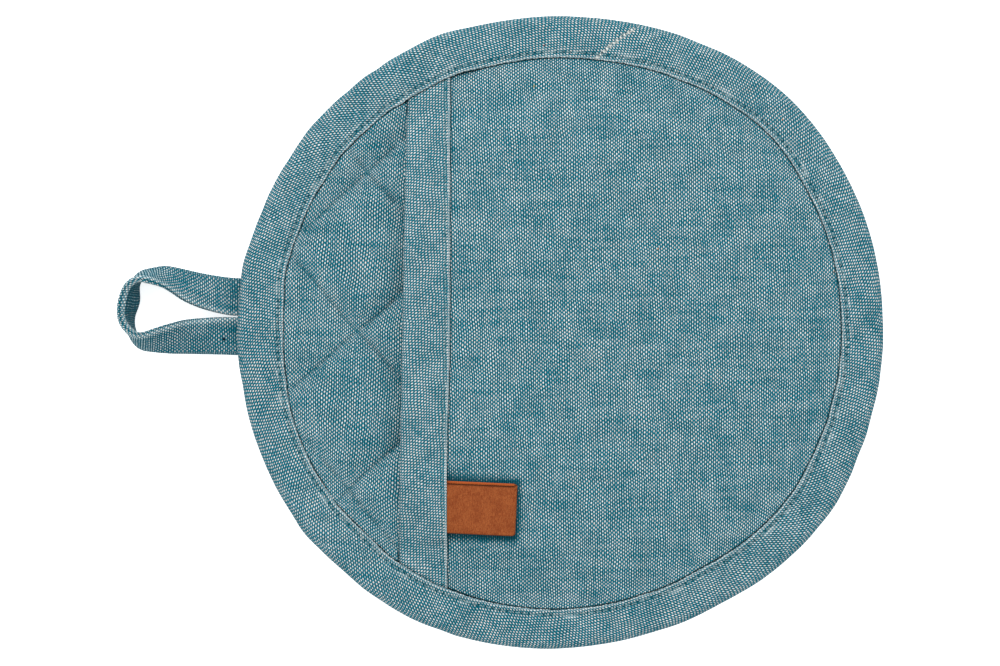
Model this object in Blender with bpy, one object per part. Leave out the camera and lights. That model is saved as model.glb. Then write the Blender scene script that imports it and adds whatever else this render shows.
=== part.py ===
"""A round cloth pot holder with a hand pocket, a bound edge, a hanging loop and a leather tab.

Made in metres with +Z up. It lies on its back on the plane z = 0, pocket side up. The origin is the
middle of the round on that plane, +X points away from the hanging loop, across the pocket.
Sizes below are in millimetres and degrees; MM turns them into metres when a mesh is made.
"""

from math import atan2, cos, degrees, exp, hypot, radians, sin, sqrt

import bmesh
import bpy
from mathutils import Vector

MM = 0.001

# Cloth, and the space left between two pieces that are sewn together
CLOTH = 1.0
GAP = 0.3

# The finished round: a circle with a few slow waves (lobes, height, direction of the first lobe)
RADIUS = 105.0
OUTLINE_WAVES = (
    (2, 1.30, 14.5),
    (3, 0.25, 12.0),
    (4, 0.72, 49.0),
    (5, 0.33, -31.0),
)

# Bias binding round the rim: width from the edge to its fold, and where it is wider or narrower
RIM_WIDTH = 13.8
RIM_SWELLS = (  # direction, change of width, spread
    (180.0, 1.3, 12.0),
    (115.0, 0.6, 14.0),
    (220.0, 0.6, 8.0),
    (280.0, -1.0, 22.0),
    (330.0, 0.5, 6.0),
    (42.0, -0.5, 8.0),
)
RIM_WEB = 2.2  # the turned-in edges that fill its outer fold
RIM_ROUND = 2.5  # how far in the rounding of its outer edge reaches
RIM_CORNER = (0.8, 0.6)  # the rounding's middle point, in from the edge and down from the face
RIM_NOSE_HALF = 0.7  # half the height of the outermost line
LIP = 0.3  # how far a folded edge stands out beyond the flat of its leaf
RIM_STEP, RIM_FINE_STEP = 4, 2  # degrees between sections, fine where layers begin and end
RIM_FINE = ((100, 136), (164, 196), (224, 260))

# Quilted pad: seams cross at QUILT_CROSSING and run square to each other
QUILT_PITCH = 36.6
QUILT_TURN = 41.5
QUILT_CROSSING = (-66.2, 0.0)
QUILT_STEPS = (0.0, 3.0, 9.0, 18.3, 27.6, 33.6)  # lines of points across one square of the quilt
PUFF_POWER = 2.6  # the higher, the flatter the middle of a square
PAD_CROWN = 5.0
PAD_SEAM_TOP = 3.5
PAD_SEAM_LIFT = 1.0  # how far a seam is drawn up into the back
PAD_SEAM_HALF = 3.0  # half width of that channel
PAD_EDGE_TOP = 4.3  # pressed edge under the binding
PAD_PRESSED = 1.0  # how much thinner the pocket makes it, and again the strip
PAD_CLEARANCE = 0.2  # above the crown and under the back, for the shape that trims the rim
PAD_INSET = 2.6  # its raw edge, in from the outline
PAD_FLOOR_REACH = 11.0  # how far in from the binding's fold the back comes down to the surface
PAD_STEP, PAD_FINE_STEP = 5, 2
PAD_FINE = ((100, 130), (160, 200), (230, 260))
PAD_RISE_SHARES = (0.2, 0.4, 0.7, 1.0)
PAD_LAST_RING = 56.0  # its innermost ring of points, in from the edge

# Pocket: its mouth is the edge strip's nose, a line from top to bottom that leans a little
MOUTH_X = -52.0
MOUTH_LEAN = 0.0189
STRIP_RIGHT_X = -36.4
STRIP_RIGHT_LEAN = 0.005
STRIP_NOSE = 1.05  # thickness of the strip where it turns over the mouth
STRIP_INSET = 3.4
STRIP_SPACE = 0.4  # between the strip's leaves and the pocket cloth inside them
STRIP_FLAT_FROM = 2.4  # the leaves' flat starts this far from the nose
STRIP_CORNER = (0.7, 0.72)  # the nose's rounding: in from its front, share of its half height
STRIP_BEND_FROM = 62.0  # beyond this y its sections bend to follow the outline
STRIP_SHARES = (0.0, 0.25, 0.5, 0.75, 1.0)
PANEL_INSET = 2.8
PANEL_MIDDLE = (22.0, 0.0)
PANEL_LEVEL = 5.5  # underside of the pocket where it lies on the pad
SEAM_RISE = 22.0  # how far in from the binding's fold the cloth takes to rise
MOUTH_ARCH = 5.8  # how far the mouth gapes above that
ARCH_END_X = 55.0  # where the arch has run out
ARCH_POWER = 3
MOUTH_STATIONS = (0, 12, 24, 34, 42, 46.5, 50, 54, 58, 62, 66, 69, 71.5, 74, 76.5, 79, 82, 85)
PANEL_ARC_STEPS = 46
PANEL_RISE_SHARES = (0.16, 0.34, 0.54, 0.76, 1.0)
PANEL_LAST_RINGS = (48.0, 60.0)

# The layers under the binding begin and end over these runs of x
PAD_TO_POCKET = (-66.0, -58.0)
PAD_TO_STRIP = (-62.0, -56.0)
RIM_TO_STRIP = (-63.0, -57.0)
PANEL_PAST_STRIP = (-33.4, -28.4)
PAST_STRIP = (-32.4, -26.4)

# Hanging loop: one strap, folded lengthways and sewn, whose two ends lie side by side on the back
STRAP_WIDTH = 12.6
STRAP_THICK = 2.4
STRAP_PRESSED = 1.6  # under the rim
STRAP_PRESS_FROM, STRAP_PRESS_TO = -107.5, -104.3
STRAP_SECTIONS = (  # lower edge x, y; bearing of the other edge, inwards; lean, 0 flat and 90 upright
    (-94.5, 16.3, -90, 0),
    (-105.0, 16.4, -90, 0),
    (-111.6, 16.9, -88, 12),
    (-118.2, 18.1, -84, 20),
    (-124.3, 19.5, -79, 31),
    (-129.3, 20.3, -70, 47),
    (-133.6, 19.6, -56, 64),
    (-137.2, 17.8, -42, 79),
    (-138.8, 14.6, -20, 97),
    (-138.7, 9.9, 0, 111),
    (-139.8, 5.2, 14, 106),
    (-141.0, 1.4, 32, 91),
    (-139.3, -2.7, 58, 79),
    (-136.6, -4.9, 70, 67),
    (-132.4, -5.7, 79, 54),
    (-127.8, -6.1, 81, 40),
    (-122.4, -6.2, 85, 28),
    (-111.6, -6.5, 90, 13),
    (-105.0, -6.8, 90, 0),
    (-94.5, -6.9, 90, 0),
)
STRAP_STEPS = 3
STRAP_EDGE_STEPS = 4  # facets of its rounded edges
LOOP_BAND = (168.2, 186.0)  # directions between which the rim lies on the loop's ends
LOOP_BAND_RAMP = 3.6
LOOP_RIM_RISE = 0.9

# Leather tab: a strip folded at its right end, both ends sewn in under the edge strip
TAB_CORNER = (-37.0, -49.3)  # upper left corner of the front layer, at the strip's edge
TAB_TURN = -2.6
TAB_LENGTH = 22.8
TAB_WIDTH = 16.0
TAB_THICK = 1.0
TAB_TAIL = 3.0
TAB_TAIL_THICK = 0.75
TAB_FOLD = 1.2  # length of its folded end
TAB_RUNS = (-TAB_TAIL, -1.0, 0.8, 2.4, 6.5, 11.5, 16.5, TAB_LENGTH - TAB_FOLD)
TAB_THIN_RUN = 1.0  # thin up to here
TAB_SHARES = (0.0, 0.25, 0.5, 0.75, 1.0)
TAB_OVERHANG = 1.0  # the back layer shows this much above the front one
TAB_STRIP_REACH = 7.0  # how far the strip takes to come down again, towards its nose
TAB_STRIP_SIDE = 4.0  # and up and down from the tab
TAB_STRIP_PLAY = (0.5, 1.0)  # room that it leaves beyond the tab's ends and sides


def smooth(low, high, value):
    """0 below low and 1 above high, with an easy start and end between them."""
    t = min(max((value - low) / (high - low), 0.0), 1.0)
    return t * t * (3 - 2 * t)


def mix(first, second, share):
    return first + (second - first) * share


def band(low, high, ramp, value):
    """1 between low and high, easing to 0 over ramp on both sides."""
    return smooth(low - ramp, low, value) * (1 - smooth(high, high + ramp, value))


def outline_radius(angle):
    return RADIUS + sum(
        height * cos(radians(lobes * (angle - direction)))
        for lobes, height, direction in OUTLINE_WAVES
    )


def rim_width(angle):
    swell = 0.0
    for direction, change, spread in RIM_SWELLS:
        away = (angle - direction + 180) % 360 - 180
        swell += change * exp(-((away / spread) ** 2))
    return RIM_WIDTH + swell


def fold_radius(angle):
    return outline_radius(angle) - rim_width(angle)


def inside_fold(x, y):
    """How far (x, y) lies inside the binding's fold."""
    return fold_radius(degrees(atan2(y, x))) - hypot(x, y)


def on_loop(x, y):
    """1 where the rim lies on the ends of the hanging loop."""
    return band(*LOOP_BAND, LOOP_BAND_RAMP, degrees(atan2(y, x)) % 360)


def chord_end(x, inset, side):
    """The y at which the round ends at x, for a piece cut inset from the outline; side is 1 or -1."""
    y = sqrt(RADIUS**2 - x**2)
    for _ in range(4):
        radius = outline_radius(degrees(atan2(side * y, x))) - inset
        y = sqrt(radius**2 - x**2)
    return side * y


def directions(step, closer_step, *closer):
    """Directions round the rim, one every step degrees, or closer_step within the ranges of closer."""
    found, angle = [], 0.0
    while angle < 360:
        found.append(angle)
        angle += closer_step if any(low <= angle < high for low, high in closer) else step
    return found


def on_rim(angle, inset):
    radius = outline_radius(angle) - inset
    return radius * cos(radians(angle)), radius * sin(radians(angle))


def arch(x, y):
    """How far the pocket stands above the pad: most at the mouth, none along the rim."""
    inside = inside_fold(x, y)
    if inside <= 0:
        return 0.0
    half_width = sqrt((hypot(x, y) + inside) ** 2 - x**2)
    across = 1 - (abs(y) / half_width) ** ARCH_POWER
    return MOUTH_ARCH * smooth(ARCH_END_X, MOUTH_X, x) * across * smooth(0, SEAM_RISE, inside)


def panel_under(x, y):
    edge = PAD_EDGE_TOP - PAD_PRESSED + GAP
    edge += GAP * (1 - smooth(*PANEL_PAST_STRIP, x))
    return mix(edge, PANEL_LEVEL, smooth(0, SEAM_RISE, inside_fold(x, y))) + arch(x, y)


def panel_over(x, y):
    return panel_under(x, y) + CLOTH


def pad_ceiling(x, y):
    edge = PAD_EDGE_TOP + LOOP_RIM_RISE * on_loop(x, y)
    edge -= PAD_PRESSED * smooth(*PAD_TO_POCKET, x)
    edge -= PAD_PRESSED * smooth(*PAD_TO_STRIP, x) * (1 - smooth(*PAST_STRIP, x))
    return mix(edge, PAD_CROWN + PAD_CLEARANCE, smooth(0, SEAM_RISE, inside_fold(x, y)))


def back_lift(x, y):
    """How far the loop's ends raise the back of the binding off the surface."""
    return (STRAP_PRESSED + GAP) * on_loop(x, y)


def pad_floor(x, y):
    edge = back_lift(x, y) + CLOTH + GAP
    return mix(edge, -PAD_CLEARANCE, smooth(2 * GAP, PAD_FLOOR_REACH, inside_fold(x, y)))


def make_material(name, colour, roughness):
    material = bpy.data.materials.new(name)
    material.use_nodes = True
    shader = material.node_tree.nodes["Principled BSDF"]
    shader.inputs["Base Color"].default_value = (*colour, 1.0)
    shader.inputs["Roughness"].default_value = roughness
    shader.inputs["Metallic"].default_value = 0.0
    return material


def make_object(name, bm, material):
    bmesh.ops.recalc_face_normals(bm, faces=bm.faces)
    mesh = bpy.data.meshes.new(name)
    bm.to_mesh(mesh)
    bm.free()
    mesh.materials.append(material)
    mesh.shade_smooth()
    mesh.set_sharp_from_angle(angle=radians(50))
    made = bpy.data.objects.new(name, mesh)
    bpy.context.scene.collection.objects.link(made)
    return made


def skin(name, loops, material, joined=False, peaks=None):
    """A closed surface through loops of as many points each.

    joined bridges the last loop to the first. Otherwise the two ends are filled, each round
    its own point of peaks, or with one face.
    """
    bm = bmesh.new()
    rows = [[bm.verts.new(Vector(point) * MM) for point in loop] for loop in loops]
    pairs = list(zip(rows, rows[1:]))
    if joined:
        pairs.append((rows[-1], rows[0]))
    for row, following in pairs:
        for i, vert in enumerate(row):
            after = (i + 1) % len(row)
            bm.faces.new((vert, row[after], following[after], following[i]))
    if peaks:
        for row, peak in zip((rows[0], rows[-1]), peaks):
            middle = bm.verts.new(Vector(peak) * MM)
            for i, vert in enumerate(row):
                bm.faces.new((vert, row[(i + 1) % len(row)], middle))
    elif not joined:
        bm.faces.new(rows[0])
        bm.faces.new(rows[-1])
    return make_object(name, bm, material)


def from_edge(edge, middle, distance):
    """The point that lies distance from edge on the way to middle."""
    share = min(distance / hypot(middle[0] - edge[0], middle[1] - edge[1]), 1.0)
    return mix(edge[0], middle[0], share), mix(edge[1], middle[1], share)


def disc(name, edge, middle, distances, over, under, material):
    """A two-sided sheet inside the closed outline edge, with rings of points at distances from it."""
    rings = [[from_edge(point, middle, d) for point in edge] for d in distances]
    upper = [[(x, y, over(x, y)) for x, y in ring] for ring in reversed(rings)]
    lower = [[(x, y, under(x, y)) for x, y in ring] for ring in rings]
    peaks = ((*middle, over(*middle)), (*middle, under(*middle)))
    return skin(name, upper + lower, material, peaks=peaks)


def quilt_lines(centre):
    """Where the quilted slab has its lines of points, along one of the quilt's two directions."""
    first = int((centre - RADIUS) // QUILT_PITCH) - 1
    last = int((centre + RADIUS) // QUILT_PITCH) + 1
    return [cell * QUILT_PITCH + step for cell in range(first, last + 1) for step in QUILT_STEPS]


def from_seam(along):
    """Distance to the nearest quilting seam across one direction."""
    within = along % QUILT_PITCH
    return min(within, QUILT_PITCH - within)


def puff(distance):
    """Height of the filling between two seams: 0 on a seam and 1 midway."""
    return 1 - (1 - distance / (QUILT_PITCH / 2)) ** PUFF_POWER


def quilted_slab(material):
    """The whole quilt before its edge is trimmed: both faces drawn in along the seams."""
    turn = radians(QUILT_TURN)
    cross_x, cross_y = QUILT_CROSSING
    columns = quilt_lines(-cross_x * cos(turn) - cross_y * sin(turn))
    rows = quilt_lines(cross_x * sin(turn) - cross_y * cos(turn))
    bm = bmesh.new()
    top, back = [], []
    for u in columns:
        for v in rows:
            x = cross_x + u * cos(turn) - v * sin(turn)
            y = cross_y + u * sin(turn) + v * cos(turn)
            filling = puff(from_seam(u)) * puff(from_seam(v))
            nearest = min(from_seam(u), from_seam(v))
            drawn = max(0.0, 1 - nearest / PAD_SEAM_HALF)
            over = mix(PAD_SEAM_TOP, PAD_CROWN, filling)
            top.append(bm.verts.new(Vector((x, y, over)) * MM))
            back.append(bm.verts.new(Vector((x, y, PAD_SEAM_LIFT * drawn)) * MM))
    high = len(rows)
    for i in range(len(columns) - 1):
        for j in range(high - 1):
            corner = (i * high + j, (i + 1) * high + j, (i + 1) * high + j + 1, i * high + j + 1)
            bm.faces.new([top[k] for k in corner])
            bm.faces.new([back[k] for k in reversed(corner)])
    border = [i * high for i in range(len(columns))]
    border += [(len(columns) - 1) * high + j for j in range(1, high)]
    border += [i * high + high - 1 for i in range(len(columns) - 2, -1, -1)]
    border += [j for j in range(high - 2, 0, -1)]
    for here, after in zip(border, border[1:] + border[:1]):
        bm.faces.new((top[here], back[here], back[after], top[after]))
    return make_object("quilted_pad", bm, material)


def build_pad(cloth):
    """The quilt trimmed to the round, and pressed thin where the binding and the pocket hold it."""
    pad = quilted_slab(cloth)
    edge = [on_rim(angle, PAD_INSET) for angle in directions(PAD_STEP, PAD_FINE_STEP, *PAD_FINE)]
    rim = RIM_WIDTH - PAD_INSET
    rise = [rim + SEAM_RISE * share for share in PAD_RISE_SHARES]
    distances = (0, rim, *rise, PAD_LAST_RING)
    trim = disc("pad_trim", edge, (0.0, 0.0), distances, pad_ceiling, pad_floor, cloth)
    trim.hide_render = True
    trim.display_type = "WIRE"
    cut = pad.modifiers.new("trimmed", "BOOLEAN")
    cut.operation = "INTERSECT"
    cut.object = trim
    return pad


def mouth_x(y):
    return MOUTH_X + MOUTH_LEAN * y


def strip_right_x(y):
    return STRIP_RIGHT_X + STRIP_RIGHT_LEAN * y


def mouth_stations():
    """The y of each section across the mouth, from bottom to top."""
    return [-y for y in reversed(MOUTH_STATIONS[1:])] + list(MOUTH_STATIONS)


def build_panel(cloth):
    """The pocket: one sheet, from inside the edge strip's fold to the raw edge under the binding."""
    nose = STRIP_NOSE + GAP

    def corner(side):
        """The direction in which the mouth's edge meets the round's."""
        y = 0.0
        for _ in range(4):
            y = chord_end(mouth_x(y) + nose, PANEL_INSET, side)
        return degrees(atan2(y, mouth_x(y) + nose))

    first, last = corner(-1), corner(1)
    shares = [i / PANEL_ARC_STEPS for i in range(PANEL_ARC_STEPS + 1)]
    edge = [on_rim(mix(first, last, share), PANEL_INSET) for share in shares]
    edge += [(mouth_x(y) + nose, y) for y in reversed(mouth_stations())]
    rim = RIM_WIDTH - PANEL_INSET
    rise = [rim + SEAM_RISE * share for share in PANEL_RISE_SHARES]
    distances = (0, rim / 3, rim * 2 / 3, rim, *rise, *PANEL_LAST_RINGS)
    return disc("pocket_panel", edge, PANEL_MIDDLE, distances, panel_over, panel_under, cloth)


def tab_bump(x, y):
    """How far the tab's sewn ends raise the strip's right edge."""
    tail_top = 2 * TAB_TAIL_THICK + 2 * GAP
    end_play, side_play = TAB_STRIP_PLAY
    upper = TAB_CORNER[1] + TAB_OVERHANG + side_play
    lower = TAB_CORNER[1] - TAB_WIDTH - side_play
    right = strip_right_x(y) - TAB_TAIL - end_play
    across = smooth(right - TAB_STRIP_REACH, right, x)
    return tail_top * across * band(lower, upper, TAB_STRIP_SIDE, y)


def build_edge_strip(cloth):
    """The bias strip folded over the pocket's mouth and sewn down along its right edge."""
    last = MOUTH_STATIONS[-1]
    half = CLOTH / 2
    loops = []
    for station in mouth_stations():

        def at(x):
            """The y of this section at x: it bends to follow the outline towards the strip's ends."""
            reach = abs(chord_end(x, STRIP_INSET, 1 if station > 0 else -1))
            return station * mix(1.0, reach / last, smooth(STRIP_BEND_FROM, last, abs(station)))

        left, right = mouth_x(at(MOUTH_X)), strip_right_x(at(STRIP_RIGHT_X))
        flat = [mix(left + STRIP_FLAT_FROM, right - LIP, share) for share in STRIP_SHARES]
        inner = [mix(left + STRIP_NOSE, right - LIP, share) for share in STRIP_SHARES]

        def over(x, rise):
            return x, panel_over(x, at(x)) + STRIP_SPACE + rise + tab_bump(x, at(x))

        def under(x, drop):
            return x, panel_under(x, at(x)) - STRIP_SPACE - drop

        middle = panel_under(left, at(left)) + half
        corner_in, corner_share = STRIP_CORNER
        corner = (half + STRIP_SPACE + CLOTH) * corner_share
        nose = [
            (left + corner_in, middle - corner),
            (left, middle),
            (left + corner_in, middle + corner),
        ]
        section = [over(x, CLOTH) for x in flat] + [over(right, half)]
        section += [over(x, 0) for x in reversed(inner)] + [under(x, 0) for x in inner]
        section += [under(right, half)] + [under(x, CLOTH) for x in reversed(flat)] + nose
        loops.append([(x, at(x), z) for x, z in section])
    return skin("pocket_edge_strip", loops, cloth)


def build_rim(cloth):
    """The bias binding: a U section carried round the edge, over the pocket and the strip's ends."""
    corner_in, corner_down = RIM_CORNER
    loops = []
    for angle in directions(RIM_STEP, RIM_FINE_STEP, *RIM_FINE):
        outer, fold = outline_radius(angle), fold_radius(angle)
        middle_x = (outer + fold) / 2 * cos(radians(angle))
        middle_y = (outer + fold) / 2 * sin(radians(angle))
        pocket = smooth(*RIM_TO_STRIP, middle_x)
        strip = pocket * (1 - smooth(*PAST_STRIP, middle_x))
        looped = on_loop(middle_x, middle_y)
        back = (STRAP_PRESSED + GAP) * looped
        leaf = PAD_EDGE_TOP + GAP + GAP * pocket + LOOP_RIM_RISE * looped
        leaf += (CLOTH + 2 * GAP) * strip
        top = leaf + CLOTH
        waist = (back + top) / 2
        section = [
            (fold + LIP, back),
            (outer - RIM_ROUND, back),
            (outer - corner_in, back + corner_down),
            (outer, waist - RIM_NOSE_HALF),
            (outer, waist + RIM_NOSE_HALF),
            (outer - corner_in, top - corner_down),
            (outer - RIM_ROUND, top),
            (fold + LIP, top),
            (fold, top - CLOTH / 2),
            (fold + LIP, leaf),
            (outer - RIM_WEB, leaf),
            (outer - RIM_WEB, back + CLOTH),
            (fold + LIP, back + CLOTH),
            (fold, back + CLOTH / 2),
        ]
        turn = radians(angle)
        loops.append([(r * cos(turn), r * sin(turn), z) for r, z in section])
    return skin("rim_binding", loops, cloth, joined=True)


def through(values, position):
    """Smooth curve through evenly spaced values, read at position (a Catmull-Rom spline)."""
    last = len(values) - 1
    i = min(int(position), last - 1)
    t = position - i
    a, b, c, d = (values[min(max(k, 0), last)] for k in (i - 1, i, i + 1, i + 2))
    return b + 0.5 * t * (c - a + t * (2 * a - 5 * b + 4 * c - d + t * (3 * (b - c) + d - a)))


def build_loop(cloth):
    """The strap from one sewn end, round the upright tip and back, its lower edge on the surface."""
    columns = list(zip(*STRAP_SECTIONS))
    count = (len(STRAP_SECTIONS) - 1) * STRAP_STEPS
    places = [i / STRAP_STEPS for i in range(count + 1)]
    low_edge = [Vector((through(columns[0], p), through(columns[1], p), 0)) for p in places]
    loops = []
    for i, place in enumerate(places):
        edge = low_edge[i]
        run = low_edge[min(i + 1, count)] - low_edge[max(i - 1, 0)]
        bearing = radians(through(columns[2], place))
        lean = radians(max(through(columns[3], place), 0.0))
        pressed = smooth(STRAP_PRESS_FROM, STRAP_PRESS_TO, edge.x)
        half = mix(STRAP_THICK, STRAP_PRESSED, pressed) / 2
        across = Vector((cos(lean) * cos(bearing), cos(lean) * sin(bearing), sin(lean)))
        face = run.cross(across).normalized()
        base = edge + Vector((0, 0, half))
        apart = STRAP_WIDTH - 2 * half
        section = []
        for centre, start in ((0.0, 90), (apart, -90)):
            for step in range(STRAP_EDGE_STEPS + 1):
                turn = radians(start + 180 * step / STRAP_EDGE_STEPS)
                out = across * (centre + half * cos(turn)) + face * half * sin(turn)
                section.append(base + out)
        loops.append(section)
    return skin("hanging_loop", loops, cloth)


def build_tab(leather):
    """The tab: back layer, fold and front layer as one bent strip, its thinned ends under the strip."""
    turn = radians(TAB_TURN)
    thick = [TAB_TAIL_THICK if run < TAB_THIN_RUN else TAB_THICK for run in TAB_RUNS]
    stations = list(zip(TAB_RUNS, thick))
    tip = TAB_RUNS[-1] + TAB_FOLD
    tall = 2 * TAB_THICK + GAP
    loops = []
    for share in TAB_SHARES:

        def place(run, rise, layer):
            """A point of the tab; layer is 1 on the back layer and 0 on the front one."""
            slide = mix(TAB_WIDTH, -TAB_OVERHANG * layer, share)
            x = TAB_CORNER[0] + run * cos(turn) + slide * sin(turn)
            y = TAB_CORNER[1] + run * sin(turn) - slide * cos(turn)
            return x, y, panel_over(x, y) + rise

        section = [place(run, GAP, 1) for run in TAB_RUNS]
        section += [place(tip, GAP + tall * part, 1 - part) for part in (0.25, 0.75)]
        section += [place(run, 2 * GAP + 2 * t, 0) for run, t in reversed(stations)]
        section += [place(run, 2 * GAP + t, 0) for run, t in stations]
        section += [place(run, GAP + t, 1) for run, t in reversed(stations)]
        loops.append(section)
    return skin("leather_tab", loops, leather)


def main():
    for old in list(bpy.data.objects):
        bpy.data.objects.remove(old)
    cloth = make_material("chambray cloth", (0.155, 0.262, 0.302), 0.9)
    leather = make_material("tan leather", (0.31, 0.081, 0.025), 0.6)
    build_pad(cloth)
    build_panel(cloth)
    build_edge_strip(cloth)
    build_rim(cloth)
    build_loop(cloth)
    build_tab(leather)


main()
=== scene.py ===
"""The looks of a round quilted pot holder with a hand pocket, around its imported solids.

Lengths in this file are in millimetres and angles in degrees until a mesh is made. The frame is the
solids' own: the origin is the middle of the round on the table, +X points away from the hanging
loop, +Y runs along the pocket's mouth, and +Z is up, out of the pocket side.
"""

import bpy
import numpy as np
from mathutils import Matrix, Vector
from mathutils.geometry import delaunay_2d_cdt


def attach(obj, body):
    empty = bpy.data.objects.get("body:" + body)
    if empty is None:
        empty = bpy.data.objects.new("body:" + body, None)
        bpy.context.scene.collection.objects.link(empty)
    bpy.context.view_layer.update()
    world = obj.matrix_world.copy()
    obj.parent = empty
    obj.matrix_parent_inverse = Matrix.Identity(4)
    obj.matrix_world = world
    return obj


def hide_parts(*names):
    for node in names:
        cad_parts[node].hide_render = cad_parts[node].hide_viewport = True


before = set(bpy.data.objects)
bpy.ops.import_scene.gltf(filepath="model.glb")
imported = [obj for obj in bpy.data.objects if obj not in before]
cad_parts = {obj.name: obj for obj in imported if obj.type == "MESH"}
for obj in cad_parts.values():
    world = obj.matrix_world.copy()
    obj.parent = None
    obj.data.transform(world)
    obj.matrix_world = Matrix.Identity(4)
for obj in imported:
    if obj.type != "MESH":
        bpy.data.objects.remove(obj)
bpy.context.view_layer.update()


# ---------------------------------------------------------------------------------------------
# The quilted pad. Two rounds of plain-woven cotton, white yarns one way and teal the other, with
# wadding between them, sewn together along two sets of lines that cross square. Its raw edge ends
# inside the binding, which holds it pressed thin.

MM = 0.001

RADIUS = 105.0
OUTLINE_WAVES = ((2, 1.30, 14.5), (3, 0.25, 12.0), (4, 0.72, 49.0), (5, 0.33, -31.0))
OUTLINE_BUMPS = (  # direction, height, spread
    (3, -0.12, 3), (30, -0.40, 9), (47, 0.12, 4), (64, -0.24, 3), (92, 0.15, 5), (112.5, 0.66, 4.5),
    (125, -0.30, 1.5), (131.5, -0.22, 1.8), (141, 0.25, 2.5), (147.5, -0.18, 1.5), (158, -0.14, 1.5),
    (168, 0.60, 4), (190, -0.25, 3), (210, 0.18, 4), (218, 0.62, 3.2), (228, -0.38, 3.4),
    (236, -0.24, 3), (248, -0.24, 2), (268, 0.12, 5), (287, -0.20, 3), (301, -0.52, 6),
    (320, 0.20, 3), (327, 0.42, 3.4), (337.5, -0.50, 3), (345, -0.50, 4), (353, -0.15, 3),
)
RIM_WIDTH = 13.8
RIM_SWELLS = (  # direction, change of width, spread
    (180, 1.3, 12), (115, 0.6, 14), (220, 0.6, 8), (280, -1.0, 22), (330, 0.5, 6), (42, -0.5, 8),
)
SEAM_RISE = 22.0

QUILT_PITCH = 36.6
QUILT_TURN = 41.5
QUILT_CROSSING = (-66.2, 0.0)
QUILT_STITCH = 3.0
QUILT_GRID = QUILT_PITCH / 24
QUILT_HALF = QUILT_PITCH / 2
QUILT_SEAMS = range(-5, 6)
SEAM_STRAY = ((0.30, 9.1, 1.0), (0.18, 4.3, 0.0))  # height, length over 2 pi, phase
PUFF_POWERS = (3.2, 4.8)  # on the slack and on the steep side of each seam
PUCKER_LONG = 7.7
PUCKER_REACH = 2.4
PAD_PUCKERS = 0.08
PAD_LUMPS = 0.09
PAD_CROWN = 4.9
PAD_SEAM = 3.9
PAD_CREASE = 0.45
PAD_CREASE_HALF = 0.45
PAD_BACK_LIFT = 1.0
PAD_BACK_CHANNEL = 3.0
PAD_EDGE_TOP = 4.3
PAD_PRESSED = 1.0
PAD_PLAY = 0.25  # room between the pad and what holds it down
PAD_ROLL = 0.95  # how high its cloth rolls up beside the binding
PAD_INSET = 2.6
PAD_TO_POCKET = (-66.0, -58.0)
PAD_TO_STRIP = (-62.0, -56.0)
PAST_STRIP = (-32.4, -26.4)
LOOP_BAND = (168.2, 186.0)
LOOP_BAND_RAMP = 3.6
LOOP_LIFT = 1.9
LOOP_RIM_RISE = 0.9
LEAF = 1.3  # a leaf of the binding with the play under it
PAD_TURN = -3.5  # the white yarns' lean from +Y on the front of the pad
PAD_BACK_TURN = 2.0
PAD_BACK_START = (400.0, 300.0)  # where in the cloth the back is cut
PAD_MOUTH_RISE = 2.1  # how much higher its squares stand at the pocket's mouth
PAD_MOUTH_HALF = 76.0
PAD_CORNER_RISE = 1.6  # and where the strip goes under the binding

MOUTH_X = -51.5
MOUTH_LEAN = 0.0189
STRIP_NOSE = 1.1
STRIP_ROUND = 1.6  # how far its fold takes to turn under
STRIP_ROLL = 0.6  # how much deeper its fold is than its two leaves
STRIP_LEAF = 0.85
STRIP_SPACE = 0.3
CLOTH = 0.6
PLAY = 0.3
PANEL_TOP = 6.5
PANEL_EDGE_TOP = 4.6
PANEL_PAST_STRIP = (-33.4, -28.4)
PANEL_ROLL = 0.9
PANEL_FELT = 0.28  # how far the quilting is felt through it
PANEL_WAVES = 0.20
PANEL_PLEATS = 0.10
ROLL_RISE = (0.0, 0.45)  # inwards from the binding's fold
ROLL_FALL = (2.5, 16.0)
MOUTH_ARCH = 5.8
ARCH_END_X = 55.0
ARCH_POWER = 3
GATHER_SLACK = 0.28
GATHER_REACH = 6.0


def ease(low, high, value):
    """0 below low and 1 above high, with an easy start and end between them."""
    t = np.clip((value - low) / (high - low), 0.0, 1.0)
    return t * t * (3 - 2 * t)


def mix(first, second, share):
    return first + (second - first) * share


def angle_of(x, y):
    return np.degrees(np.arctan2(y, x)) % 360


def away(angle, direction):
    """Signed turn from direction to angle, from -180 to 180."""
    return (angle - direction + 180) % 360 - 180


def bell(offset, reach):
    """1 at no offset, with an easy fall to both sides."""
    return np.exp(-((offset / reach) ** 2))


def wave(run, length, phase=0.0):
    return np.cos(2 * np.pi * run / length + phase)


def bumps(angle, rows):
    """The sum of soft bumps, each given by its direction, height and spread."""
    return sum(height * bell(away(angle, direction), spread) for direction, height, spread in rows)


def outline_radius(angle):
    radius = RADIUS + sum(h * np.cos(np.radians(n * (angle - d))) for n, h, d in OUTLINE_WAVES)
    return radius + bumps(angle, OUTLINE_BUMPS)


def rim_width(angle):
    return RIM_WIDTH + bumps(angle, RIM_SWELLS)


def fold_radius(angle):
    return outline_radius(angle) - rim_width(angle)


def inside_fold(x, y):
    """How far a point lies inside the binding's fold."""
    return fold_radius(angle_of(x, y)) - np.hypot(x, y)


def on_loop(angle):
    """1 where the rim lies on the two ends of the hanging loop."""
    low, high = LOOP_BAND
    return ease(low - LOOP_BAND_RAMP, low, angle) * (1 - ease(high, high + LOOP_BAND_RAMP, angle))


def strayed(along):
    """How far a quilting seam strays from its straight line."""
    return sum(height * np.sin(along / size + phase) for height, size, phase in SEAM_STRAY)


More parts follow.
